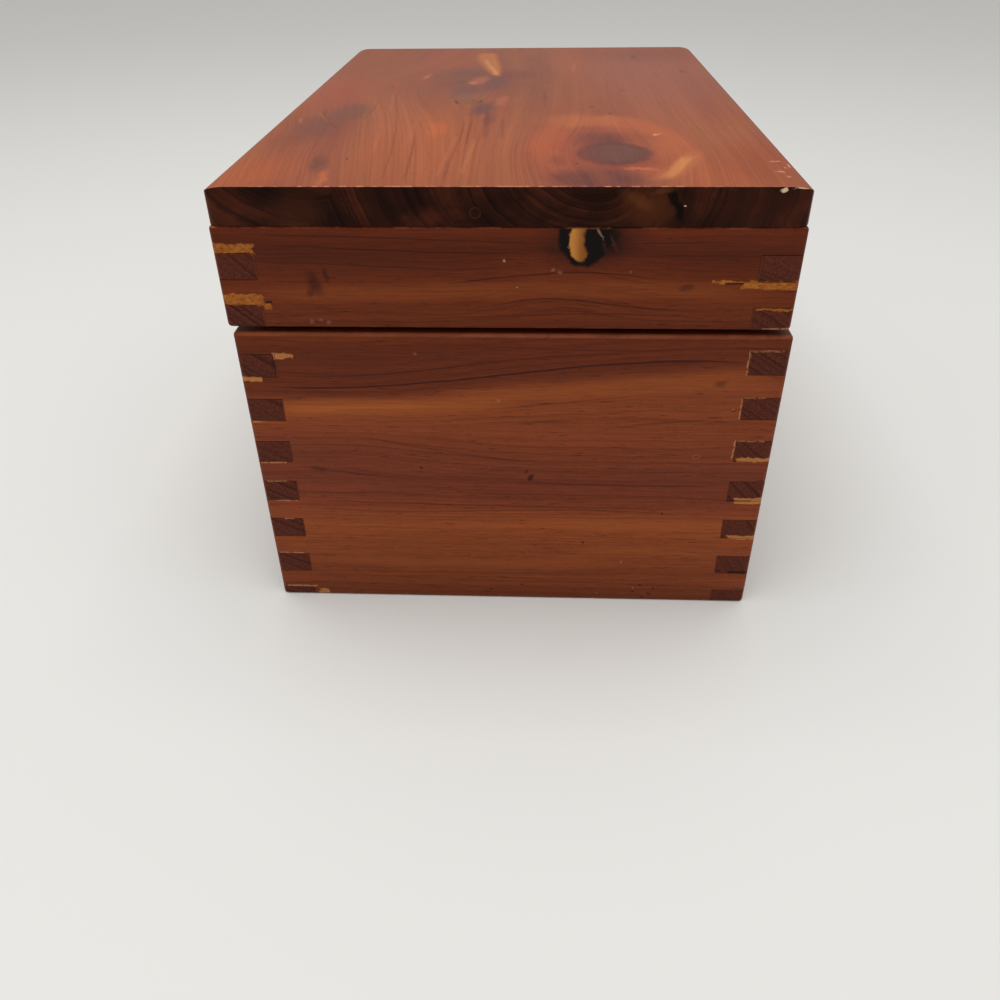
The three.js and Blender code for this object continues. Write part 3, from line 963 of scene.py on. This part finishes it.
def left_end_marks(finish, colour, span):
    """What only the photographed end shows, within a span of heights."""
    face = finish.combine(finish.y, finish.z, 0.0)
    torn_face = finish.torn(face, (0.35, 0.35, 1), 8.0, (2.6, 2.6, 0))
    fine_face = finish.torn(face, (0.9, 0.9, 1), 8.0, (1.4, 1.4, 0))
    fibre = finish.noise(face, (0.07, 2.4, 1), 15.0, 3.0, 0.6)
    marked = lay_lines(finish, colour, face, fibre, span)
    marked = finish.stains(marked, torn_face, within(span, knot_bark))
    marked = finish.stains(marked, fine_face, within(span, knot_splinters))
    if within(span, [(crescent_place,)]):
        marked = lay_crescent(finish, marked, torn_face, fine_face)
    marked = finish.stains(marked, torn_face, within(span, smudges))
    marked = finish.stains(marked, fine_face, within(span, small_marks))
    if within(span, [(ring_dent,)]):
        dent = finish.oval(face, ring_dent, (0.8, 0.5))
        marked = finish.mix(dent.ease(0.6, 0.9) * dent.ease(1.3, 1.0) * 0.14, marked, pale_dust)
    marked = lay_worn_and_lit_arrises(finish, marked, face)
    return finish.mix(finish.x.ease(*left_skin), colour, marked)


print("the marks fade in from x =", left_skin[0], "to", left_skin[1], "mm")

# %% [markdown]
# Five materials dress the eight boards. The right, front and back ones run on from wall to rim.
# The left end has one for its wall and one for its rim, each with only its own marks, because a
# renderer can run out of room in a material with too many of them, and then draws it black.

# %% Wall materials
lid_line = 67.1
left_end_wall_wood, left_end_rim_wood = (
    wall_finish(
        name, "y", 2.0, (0.0, 0.0), 2.3,
        bend=left_end_bend, bands=end_bands, marks=left_end_marks, joints=0, span=span,
    )
    for name, span in (("left_wall_wood", (0.0, lid_line)), ("left_rim_wood", (lid_line, rim_top)))
)
right_end_wood = wall_finish(
    "right_end_wood", "y", 13.0, (-70.0, 40.0), 2.9,
    knots=[(18.0, 38.0, 16.0, 11.0, 10, 0.8)],
)
front_wood = wall_finish(
    "front_wood", "x", 21.0, (-25.0, 10.0), 2.6,
    knots=[(-36.0, 30.0, 20.0, 12.0, 0, 0.8), (50.0, 60.0, 12.0, 8.0, 0, 0.8)], joints=-1,
)
back_wood = wall_finish(
    "back_wood", "x", 34.0, (140.0, -10.0), 2.8,
    knots=[(24.0, 44.0, 18.0, 11.0, 0, 0.8)], joints=1,
)
print("wall finishes:", len(bpy.data.materials))

# %% [markdown]
# ## The knotty top board
#
# The top board was sawn close to the pith, so branches cross it as dark ovals with orange halos,
# and the lines between them wander. On its face the lines run with the grain and fan out towards
# the hinge side. Its ends show the rings as arcs round two hearts that lie above the board.

# %% Wood of the top board
board_foot, board_end = 87.25, 80.5
near_knot = (-57.0, -19.8)
top_knots = [
    # Along, across, reach, width, turn and strength
    (*near_knot, 22.0, 14.0, 0, 0.7),
    (22.0, 12.0, 26.0, 15.0, 0, 0.5),
    (-18.0, 39.0, 14.0, 8.0, 0, 0.35),
    (-34.0, 44.5, 14.0, 8.0, 12, 0.35),
]
salmon = rgb(145, 80, 53)
rose = rgb(137, 73, 53)
light_salmon = rgb(152, 87, 56)
red_line = rgb(98, 42, 30)
knot_grey = rgb(107, 67, 58)
knot_purple = rgb(98, 54, 49)
olive_brown = rgb(118, 72, 52)
flame = rgb(190, 113, 54)
pale_wear = rgb(214, 150, 116)


def board_places(finish, seed):
    """The place on the board's face, and the same place as the bent grain sees it."""
    wander = finish.noise(finish.place, (0.007, 0.03, 0.03), seed, 2.0, colour=True)
    plane = finish.combine(finish.x, finish.y, 0.0)
    bent = finish.vector("MULTIPLY_ADD", wander, (0.0, 5.0, 0.0), plane)
    fan = (finish.x + board_end) * finish.y.ease(6.0, 26.0) * finish.x.ease(70.0, 0.0)
    bent = finish.vector("SUBTRACT", bent, finish.combine(0.0, fan * 0.14, 0.0))
    return plane, push_round_knots(finish, bent, top_knots)


print("knots that bend the board's grain:", len(top_knots))

# %% [markdown]
# ## What the top board shows
#
# A knot is a branch that the trunk grew round. Its heart is grey and purple, the wood that flowed
# round it is red, and where pale sapwood was caught there are yellow flames. The stains are ovals
# and streaks in millimetres along and across the board. Their edges are torn by noise, at one
# scale for the broad, blended zones and at a finer one for the hearts.

# %% Stains of the top board
broad_edge = (1.35, 0.25)
broad_stains = [
    # Centre along and across, size, turn, shade and amount
    ((-50, -18), (26, 16), 0, rgb(148, 74, 52), 0.6),
    ((-46, -7), (17, 5), 0, rgb(160, 76, 50), 0.7),
    ((-27.5, -15.4), (6.5, 13), 0, rgb(168, 95, 58), 0.7),
    ((-34, -27), (9, 5), 30, rgb(172, 90, 54), 0.6),
    ((-50, -33), (16, 4.5), 8, rgb(168, 88, 54), 0.6),
    ((-72, -36), (10, 10), 0, rgb(164, 84, 48), 0.5),
    ((-62, -5), (12, 6), 0, rgb(150, 74, 48), 0.4),
    ((-48, 18), (36, 15), 0, rgb(162, 84, 48), 0.6),
    ((-36, 17), (8, 3), 0, rgb(180, 92, 48), 0.6),
    ((-70, 47), (13, 9), 0, rgb(164, 82, 46), 0.6),
    ((8, 46), (26, 9), 0, rgb(160, 76, 56), 0.5),
    ((52, 22), (26, 12), 0, rgb(152, 72, 48), 0.5),
    ((60, 44), (30, 10), 0, rgb(146, 76, 44), 0.6),
    ((50, -14), (34, 6), 0, rgb(160, 82, 56), 0.45),
    ((30, -35), (60, 18), 0, rgb(150, 86, 72), 0.6),
    ((66, -38), (16, 18), 0, rgb(130, 70, 56), 0.5),
    ((-64, -46), (20, 8), 0, rgb(140, 66, 40), 0.6),
    ((22, 12), (24, 15), 0, rgb(128, 70, 54), 0.5),
    ((24, -4), (60, 4.5), 0, rgb(126, 70, 54), 0.5),
    ((-30, 42), (22, 10), 16, rgb(132, 72, 54), 0.45),
    ((-20, 28), (26, 6), 10, rgb(160, 88, 58), 0.5),
]
close_stains = [
    # The knot by the photographed end
    ((-64, -19.0), (7.0, 11.5), 0, rgb(132, 62, 48), 0.6, (1.2, 0.5)),
    ((-46.5, -18.2), (8.5, 6.0), 0, knot_purple, 0.75),
    ((-57.2, -19.8), (9.2, 7.6), 0, knot_purple, 0.85, (1.12, 0.8)),
    ((-56.8, -19.8), (8.0, 6.6), 0, knot_grey, 0.9, (1.1, 0.6)),
    ((-75.6, -16.0), (9.0, 9.4), 0, rgb(92, 50, 48), 0.85, (1.3, 0.35)),
    ((-62, -8.6), (4.5, 2.0), 0, rgb(116, 62, 50), 0.5),
    ((-68.8, -24.2), (1.2, 3.6), -10, rgb(186, 98, 66), 0.75, (1.3, 0.4)),
    ((-41.4, -29.5), (1.8, 0.55), -20, rgb(218, 140, 84), 0.9, (1.3, 0.4)),
    # The knot beyond the middle
    ((28, 16.0), (14.5, 10.0), 0, olive_brown, 0.75, (1.3, 0.4)),
    ((34, 16.0), (7.0, 5.0), 0, rgb(106, 66, 60), 0.6, (1.3, 0.2)),
    ((19, 6.6), (12.5, 4.0), -6, rgb(108, 66, 62), 0.8, (1.35, 0.3)),
    ((9, 14.0), (11.5, 4.6), 0, rgb(112, 72, 64), 0.75, (1.35, 0.3)),
    ((31, 1.5), (8, 6.0), 0, rgb(116, 60, 50), 0.7, (1.35, 0.3)),
    ((22, 11.6), (7.0, 2.6), -6, rgb(168, 92, 66), 0.7, (1.35, 0.3)),
    ((18.6, 12.9), (2.6, 1.1), 0, rgb(190, 108, 80), 0.7, (1.3, 0.4)),
    ((28.5, 26.3), (4.8, 1.0), -6, rgb(184, 100, 66), 0.75),
    ((19, 25.8), (4.4, 1.4), 0, rgb(156, 66, 48), 0.6, (1.3, 0.4)),
    ((18.5, 33.8), (4.6, 0.8), 10, rgb(166, 76, 46), 0.6, (1.3, 0.4)),
    ((-1.0, 12.4), (6.4, 4.4), 0, rgb(134, 84, 66), 0.5, (1.35, 0.3)),
    ((-6.6, 12.4), (3.4, 3.0), 0, rgb(126, 80, 54), 0.8, (1.2, 0.5)),
    ((-14.5, 8.2), (8.0, 3.2), -8, rgb(104, 64, 62), 0.8, (1.35, 0.3)),
    ((-25, 6.2), (8.0, 1.5), -3, rgb(110, 60, 54), 0.65, (1.3, 0.4)),
    ((-5.4, 4.2), (6.6, 1.6), 0, rgb(172, 94, 66), 0.7, (1.3, 0.4)),
    ((-2.2, -6.3), (9.6, 0.9), 0, rgb(112, 60, 48), 0.5, (1.3, 0.4)),
    # The pair by the left edge
    ((-17.6, 39.2), (11.8, 5.0), 0, rgb(116, 72, 60), 0.85, (1.2, 0.5)),
    ((-33, 43.6), (14.0, 6.4), 0, rgb(116, 68, 58), 0.75),
    ((-45, 47), (8.0, 5.0), 0, rgb(128, 70, 52), 0.6),
    ((-64.5, 37.0), (8.4, 2.0), 8, rgb(104, 62, 52), 0.8, (1.3, 0.2)),
    ((-75, 34.0), (6.0, 1.2), 4, rgb(188, 104, 58), 0.6),
    ((-60.5, 32), (0.8, 0.35), 0, rgb(66, 26, 22), 0.9, (1.3, 0.5)),
    ((-64.8, -12.4), (0.4, 0.4), 0, rgb(76, 34, 28), 0.5, (1.3, 0.5)),
    ((-20.2, -21.4), (1.2, 0.5), 0, rgb(92, 46, 38), 0.7, (1.3, 0.5)),
    ((-13, -17.4), (1.4, 0.6), 0, rgb(100, 52, 44), 0.5),
    ((35, -44.6), (3.0, 0.9), 0, rgb(110, 58, 48), 0.6),
    ((60, -33.4), (6.0, 1.0), 0, rgb(104, 54, 46), 0.6),
    ((7, -26.0), (2.4, 0.7), 0, rgb(120, 64, 54), 0.5),
]
top_streaks = [
    # Places along the board and across it, reach in mm, colour and strength
    ([(-54, -35.6), (-60, -34.6), (-67, -31.4), (-73, -28.8), (-78, -25.6)],
     [(-80, 3.4), (-73, 3.8), (-60, 2.8), (-50, 1.4)], rgb(172, 98, 58), 0.8),
    ([(-58, -34.4), (-67, -31.0), (-73, -28.7), (-77, -26.6)], 1.9, rgb(204, 136, 78), 0.65),
    ([(72, 11.6), (66, 11.3), (52, 10.2), (46, 9.6), (40.7, 8.4), (34, 7.3), (27, 6.8)],
     [(72, 3.4), (60, 4.2), (52, 4.6), (45, 3.8), (38, 2.4), (27, 0.9)], flame, 0.75),
    ([(60, 11.4), (50, 10.6), (40, 8.6), (29, 6.9)], 1.0, rgb(200, 136, 88), 0.6),
    ([(-17, 47.6), (-22.9, 44.6), (-28.6, 42.4), (-31, 41.2)], 0.5, rgb(168, 106, 62), 0.6),
    ([(-14, 45.0), (-27, 43.0), (-31, 41.2), (-38, 37.6)], 0.45, rgb(80, 46, 40), 0.4),
    ([(-22.5, 50.0), (-26, 49.2), (-31, 48.2)], 0.45, rgb(184, 116, 92), 0.6),
    ([(-4, 34.6), (-20, 34.4), (-27, 34.6)], 0.4, rgb(84, 46, 38), 0.3),
    ([(-2.5, 15.9), (-6.4, 15.3), (-9.8, 13.8), (-11.2, 12.2)], 0.55, rgb(58, 28, 26), 0.8),
    ([(-2.5, 9.0), (-6.4, 9.3), (-9.8, 10.8), (-11.2, 12.4)], 0.55, rgb(58, 28, 26), 0.8),
    ([(52, -15.4), (43, -14.7), (34, -14.2)], 0.7, rgb(172, 98, 68), 0.6),
    ([(12, 33.0), (4, 32.0), (-6, 31.0), (-20, 29.6)], 0.5, rgb(172, 98, 68), 0.5),
    ([(-24, 22.6), (-40, 22.3), (-60, 22.0)], 0.6, rgb(172, 98, 60), 0.25),
    ([(-36, 29.4), (-46, 28.6), (-58, 27.4)], 0.7, rgb(172, 98, 60), 0.5),
    ([(-44, 8.4), (-58, 8.5), (-74, 9.2)], 0.7, rgb(176, 100, 62), 0.6),
    ([(-40, 12.4), (-58, 12.9), (-76, 13.4)], 0.6, rgb(172, 98, 58), 0.45),
    ([(-24, 3.2), (-36, 2.8), (-46, 2.7)], 0.6, rgb(100, 48, 40), 0.4),
    ([(-16, 7.2), (-28, 6.6), (-46, 6.4)], 0.9, rgb(104, 54, 46), 0.55),
    ([(-26, 12.0), (-44, 11.4), (-60, 11.8), (-78, 11.6)], 0.35, rgb(104, 48, 36), 0.4),
    ([(-24, 9.8), (-40, 10.0), (-52, 9.6)], 0.35, rgb(104, 48, 36), 0.4),
    ([(20, 35.0), (-20, 28.0), (-78, 23.0)], 0.4, rgb(104, 48, 36), 0.35),
    ([(-40, 21.4), (-60, 19.8), (-78, 18.8)], 0.4, rgb(104, 48, 36), 0.4),
    ([(-70, -7), (-76, -9), (-80, -9.8)], 1.0, rgb(98, 48, 40), 0.6),
]
corner_chips = [
    ((-63.2, -49.8), (0.35, 1.4), 14, pale_wear, 0.85),
    ((-65.4, -51.4), (2.0, 0.3), 0, pale_wear, 0.85),
    ((-71.0, -48.7), (0.5, 1.0), 0, pale_wear, 0.85),
    ((-67.5, -50.2), (0.4, 0.4), 0, pale_wear, 0.85),
    ((-74.0, -49.6), (0.3, 0.5), 20, pale_wear, 0.85),
]
print(len(broad_stains + close_stains), "ovals and", len(top_streaks), "streaks on the top")

# %% [markdown]
# The board is painted as it grew and was used: first the colour of the wood with its broad zones,
# then the growth lines, then the knots' hearts and flames, and last the wear with a painted
# highlight on the near arris, which lie over all of them. Laid in another order, the scratches
# would seem to lie under the varnish.

# %% Top board finish
board_arris_wear_and_highlight = (0.75, 0.3)
board_underside = (0.5, 0.2)


def top_ground(finish, seed, bent, flow, torn_plane, grain):
    """Salmon and rose heartwood with the broad zones, the knot's collar and the growth lines."""
    fine, tone, lines = grain
    hair = finish.noise(finish.combine(finish.x, flow, 0.0), (0.016, 1.9, 1), 44.0, 3.0, 0.65)
    hue = finish.noise(bent, (0.009, 0.09, 0.09), seed + 9.0, 3.0, 0.6)
    colour = finish.ramp(hue, [(0.32, rose), (0.5, salmon), (0.7, light_salmon)])
    for centre, size, turned_by, shade, amount in broad_stains:
        given = (centre, size, turned_by, broad_edge, amount)
        colour = finish.stain(colour, shade, torn_plane, *given)
    collar = finish.oval(torn_plane, (-50.0, -18.0), (22.5, 12.5))
    collar = collar.ease(1.4, 1.05) * collar.ease(0.6, 0.9)
    colour = finish.mix(collar * 0.4, colour, rgb(172, 92, 56))
    near = finish.x.ease(30.0, -50.0)
    strands = hair * (near * 0.45 + 0.2) - near * 0.12
    colour = finish.darken(colour, tone * 0.24 + fine * 0.26 + strands + 0.59)
    broken_lines = lines * tone.ease(0.36, 0.6)
    return finish.mix(broken_lines * (near * 0.28 + 0.05), colour, red_line)


def top_knots_and_flames(finish, colour, plane, fine_plane, tone):
    """The knots' hearts, with rings in the nearest one, and the flames and streaks."""
    thread = tone.ease(0.3, 0.65) * 0.4 + 0.6
    colour = finish.stains(colour, fine_plane, close_stains, thread * 1.1)
    swirl = finish.oval(fine_plane, near_knot, (1.25, 1.0))
    rings = swirl.by("FRACT").ease(0.55, 0.95) * swirl.ease(8.5, 6.0)
    colour = finish.mix(rings * 0.25, colour, rgb(70, 38, 35))
    along, across, _ = finish.split(finish.torn(plane, (0.22, 0.42, 0.3), 6.0, (2.0, 0.6, 0)))
    for points, reach, shade, amount in top_streaks:
        colour = finish.streak(colour, shade, along, across, points, reach, thread * amount)
    return colour


def top_wear_and_arris_highlight(finish, colour, fine_plane, flecks):
    """Chips by the right-hand corner, pores, a pale arris that is wear and painted highlight, and
    the bare underside.
    """
    chips = finish.noise(finish.place, (0.9, 0.9, 0.9), 31.0, 3.0, 0.6).ease(0.3, 0.55)
    colour = finish.stains(colour, fine_plane, corner_chips, chips)
    colour = finish.mix(flecks * 0.3, colour, rgb(92, 44, 32))
    # The pale line along the board's near end is a painted highlight on the arris, broken up by
    # wear.
    rim = (finish.x + board_end).ease(*board_arris_wear_and_highlight)
    worn = finish.noise(finish.place, (0.3, 0.5, 0.3), 12.0, 4.0, 0.66).ease(0.46, 0.6)
    reach = finish.y.ease(48.0, 42.0) * finish.y.ease(-40.0, -30.0) * 0.7 + 0.2
    colour = finish.mix(rim * worn * reach, colour, rgb(204, 136, 106))
    under = (finish.z - board_foot).ease(*board_underside)
    return finish.mix(under, colour, finish.mix(0.6, colour, bare_cedar))


def top_finish():
    """The knotty face of the top board, its long edges and its underside."""
    finish = Finish("knotty_top_wood")
    seed = 5.0
    plane, bent = board_places(finish, seed)
    flow = finish.split(bent)[1]
    lines = growth_lines(finish, flow + far_pith, finish.x, 1.3, seed, 1.7)
    fine, tone, flecks = fibres(finish, finish.x, flow, finish.z, seed)
    torn_plane = finish.torn(plane, (0.09, 0.13, 0.1), 3.0, (13.0, 7.0, 0))
    fine_plane = finish.torn(plane, (0.22, 0.42, 0.3), 6.0, (5.0, 2.4, 0))
    colour = top_ground(finish, seed, bent, flow, torn_plane, (fine, tone, lines))
    colour = top_knots_and_flames(finish, colour, plane, fine_plane, tone)
    colour = top_wear_and_arris_highlight(finish, colour, fine_plane, flecks)
    waves = finish.noise(finish.place, (0.06, 0.06, 0.06), 2.0, 1.0)
    height = lines * -0.3 + fine * 0.5 + waves * 3.0 - flecks
    return finish.wear(colour, height, fine * 0.14 + 0.46, (0.4, 0.06), 0.1)


top_wood = top_finish()

# %% [markdown]
# ## The board's ends
#
# Across the grain the same rings show as arcs, and the open fibres have drunk so much varnish that
# the wood is nearly black. The arcs are distances from two hearts, and where their rings meet there
# is the crease that the photographed end has.

# %% The board's end grain
main_pith = (-16.1, 98.0)
side_pith = (36.0, 108.0)
side_lag = 17.0
end_stains = [
    # Centre across and up, size, turn, shade and amount
    ((-25.0, 90.4), (5.4, 4.0), 0, rgb(86, 42, 19), 0.6),
    ((-22.6, 91.8), (3.6, 1.2), 26, rgb(100, 54, 26), 0.5),
    ((-29.2, 91.2), (0.9, 4.2), -24, rgb(8, 4, 3), 0.92, (1.25, 0.4)),
    ((-26.6, 93.6), (2.2, 0.7), -10, rgb(110, 58, 32), 0.4),
    ((13.9, 88.9), (2.2, 1.9), 0, rgb(84, 36, 23), 0.5),
    ((38, 90.0), (5.4, 4.0), 0, rgb(76, 38, 20), 0.4),
    ((-44, 90.5), (10, 5), 0, rgb(64, 30, 18), 0.4),
]
chip_pale = rgb(226, 196, 160)
end_chips = [
    ((-47.5, 93.7), (0.7, 0.4), 0, chip_pale, 0.9, (1.25, 0.7)),
    ((-50.6, 94.0), (1.4, 0.16), 0, chip_pale, 0.9, (1.25, 0.7)),
    ((-30.6, 90.8), (0.13, 0.13), 0, chip_pale, 0.9, (1.25, 0.7)),
]
end_ring = (6.0, 89.7)


def end_radius(finish):
    """The distance to the nearer of the board's two hearts. Their rings meet in a crease."""
    across = finish.y + finish.noise(finish.place, (0.02, 0.09, 0.14), 8.0, 2.0) * 3.0 - 1.5
    hearts = []
    for pith, slope, wide in ((main_pith, 0.05, 0.68), (side_pith, 0.02, 1.0)):
        aside = across - pith[0] - (finish.x + board_end) * slope
        aside = aside.by("MAXIMUM", 0.0) * wide + aside.by("MINIMUM", 0.0) * 1.08
        place = finish.combine(aside, finish.z - pith[1], 0.0)
        hearts.append(Field(finish, finish.vector("LENGTH", place)))
    return hearts[0].by("MINIMUM", hearts[1] + side_lag)


def top_end_finish():
    """The board's two sawn ends: nearly black with old varnish, the rings as fine arcs."""
    finish = Finish("top_end_grain")
    seed = 5.0
    radius = end_radius(finish)
    lines = growth_lines(finish, radius, finish.x * 0.0, 1.7, seed, 1.6)
    close = growth_lines(finish, radius, finish.x * 0.0, 0.6, seed + 3.0, 1.5)
    patches = finish.noise(finish.place, (0.1, 0.09, 0.16), 4.0, 4.0, 0.6)
    ring_tone = finish.noise(finish.combine(radius, 0.0, 0.0), (0.28, 1, 1), 4.0, 2.0)
    colour = finish.ramp(
        patches * 0.5 + ring_tone * 0.5,
        [(0.36, rgb(30, 12, 8)), (0.5, rgb(48, 20, 12)), (0.62, rgb(78, 36, 21))],
    )
    colour = finish.mix(lines, colour, rgb(12, 5, 4))
    colour = finish.mix(close * 0.75, colour, rgb(18, 7, 5))
    face = finish.combine(finish.y, finish.z, 0.0)
    ragged_face = finish.torn(face, (0.5, 0.5, 1), 16.0, (2.4, 1.6, 0))
    colour = finish.stains(colour, ragged_face, end_stains)
    near_end = finish.x.ease(0.0, -10.0)
    ring = finish.oval(face, end_ring, (0.95, 0.95))
    dent = ring.ease(0.75, 0.92) * ring.ease(1.2, 1.02) * near_end
    colour = finish.mix(dent * 0.14, colour, rgb(122, 72, 54))
    colour = finish.stains(colour, ragged_face, end_chips, near_end)
    return finish.wear(colour, lines * -0.6 + patches, 0.5, (0.5, 0.06), 0.05)


top_end_wood = top_end_finish()

# %% [markdown]
# ## The bottom panel
#
# Nobody varnishes the inside of a cedar box, because the smell is the point. The panel is plain
# bare wood, paler than the outside and hardly figured, so a few rings and the fibres are enough.

# %% Bottom panel finish
def panel_finish():
    """Plain bare cedar, hardly figured."""
    finish = Finish("bare_panel_wood")
    seed = 51.0
    from_pith = finish.combine(0.0, finish.y - 20.0, finish.z + 60.0)
    radius = Field(finish, finish.vector("LENGTH", from_pith))
    lines = growth_lines(finish, radius, finish.x, 1.6, seed, 3.0)
    fine, tone, flecks = fibres(finish, finish.x, finish.y, finish.z, seed)
    hue = finish.noise(finish.place, (0.004, 0.08, 0.08), seed, 3.0, 0.6)
    colour = finish.ramp(hue, [(0.35, rgb(158, 94, 62)), (0.65, rgb(190, 122, 80))])
    colour = finish.darken(colour, tone * 0.35 + fine * 0.3 + 0.7)
    colour = finish.mix(lines * 0.55, colour, rgb(118, 62, 42))
    colour = finish.mix(flecks * 0.4, colour, rgb(92, 50, 36))
    return finish.wear(colour, fine - flecks, 0.72, (0.5, 0.08), 0.25)


panel_wood = panel_finish()

# %% [markdown]
# ## Brass
#
# Small butt hinges are stamped from brass sheet and never polished. The metal is a warm yellow,
# dulled by handling, with a browner film where fingers don't rub it.

# %% Brass finish
def brass_finish(name, bright, dull, roughness):
    """Bright sheet metal under a duller, browner film that handling rubs away."""
    finish = Finish(name)
    film = finish.noise(finish.place, (0.5, 0.5, 0.5), 7.0, 4.0, 0.65).ease(0.4, 0.65)
    colour = finish.mix(film, bright, dull)
    finish.shader.inputs["Metallic"].default_value = 1.0
    rub = finish.noise(finish.place, (6.0, 0.6, 0.6), 3.0, 3.0, 0.6)
    return finish.wear(colour, rub, rub * 0.2 + roughness + film * 0.1, (0.25, 0.02), 0.5)


hinge_brass = brass_finish("hinge_brass", rgb(214, 178, 104), rgb(168, 128, 68), 0.26)
screw_brass = brass_finish("screw_brass", rgb(206, 168, 98), rgb(150, 112, 60), 0.3)

# %% [markdown]
# ## Easing the edges
#
# A packed solid arrives as loose triangles. A copy of it is merged, its flat faces are made whole
# again, and a narrow bevel takes the knife edge off. The bevel only touches true corners: the
# facets of the sanded rounds meet at less than its angle and are smoothed by shading instead.

# %% Copy, merge, ease
merge_within = 0.002 * mm
flat_within = math.radians(0.3)
true_corner = math.radians(50)
smooth_below = math.radians(34)
board_ease = 0.22 * mm
wall_ease = 0.05 * mm
panel_ease = 0.3 * mm
leaf_ease = 0.05 * mm
screw_ease = 0.03 * mm


def eased_copy(node, body, materials, ease, steps=2):
    """A merged copy of one node, with eased edges and its own materials, in the node's place."""
    bpy.ops.object.select_all(action="DESELECT")
    mesh = frame["nodes"][node].data.copy()
    mesh.materials.clear()
    piece = bpy.data.objects.new(node + "_piece", mesh)
    bpy.context.scene.collection.objects.link(piece)
    bpy.context.view_layer.objects.active = piece
    piece.select_set(True)
    bpy.ops.object.mode_set(mode="EDIT")
    bpy.ops.mesh.select_all(action="SELECT")
    bpy.ops.mesh.remove_doubles(threshold=merge_within)
    bpy.ops.mesh.dissolve_limited(angle_limit=flat_within)
    bpy.ops.object.mode_set(mode="OBJECT")
    bevel = piece.modifiers.new("ease", "BEVEL")
    bevel.limit_method = "ANGLE"
    bevel.angle_limit = true_corner
    bevel.width = ease
    bevel.segments = steps
    bevel.miter_outer = "MITER_ARC"
    bpy.ops.object.modifier_apply(modifier="ease")
    bpy.ops.object.shade_smooth_by_angle(angle=smooth_below)
    for material in materials:
        piece.data.materials.append(material)
    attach(piece, body)
    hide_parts(node)
    return piece


print("eases in mm:", [round(e / mm, 2) for e in (board_ease, wall_ease, panel_ease, screw_ease)])

# %% [markdown]
# ## The boards
#
# Four walls and four rims, each with the wood of its side. The left pair shows the most, and each
# of the two has its own material, which holds only the marks in its own span of heights. The top
# board takes two materials: the face's on its long sides, and the end grain's on its sawn ends.

# %% Walls and rims
wall_woods = {
    "front": (front_wood, front_wood),
    "back": (back_wood, back_wood),
    "left": (left_end_wall_wood, left_end_rim_wood),
    "right": (right_end_wood, right_end_wood),
}
for side, (below, above) in wall_woods.items():
    wall = eased_copy(f"body_{side}_wall", "body", [below], wall_ease)
    rim = eased_copy(f"lid_{side}_rim", "lid", [above], wall_ease)
    print(side, "wall faces", len(wall.data.polygons), "rim faces", len(rim.data.polygons))

eased_copy("body_bottom_panel", "body", [panel_wood], panel_ease)

# %% Top board
board_steps = 3
faces_the_end = 0.6

top_board = eased_copy(
    "lid_top_board", "lid", [top_wood, top_end_wood], board_ease, board_steps
)
for face in top_board.data.polygons:
    if abs(face.normal.x) > faces_the_end:
        face.material_index = 1
print("top board faces", len(top_board.data.polygons))

# %% [markdown]
# ## Hinges and screws
#
# The packed solids already have the knuckles, the countersinks and the slots, so the brass pieces
# only need their eases and their metal. Two hinges with three parts and four screws each are a
# loop over the names.

# %% Hinges and screws
for side in ("left", "right"):
    for part, body in (("body_leaf", "body"), ("lid_leaf", "lid"), ("pin", "body")):
        eased_copy(f"{side}_hinge_{part}", body, [hinge_brass], leaf_ease)
    for leaf in ("body", "lid"):
        for number in (1, 2):
            name = f"{side}_hinge_{leaf}_screw_{number}"
            eased_copy(name, leaf, [screw_brass], screw_ease)
brass = [p.name for p in bpy.data.objects if "hinge" in p.name and p.name.endswith("_piece")]
print("brass pieces:", len(brass))

# %% [markdown]
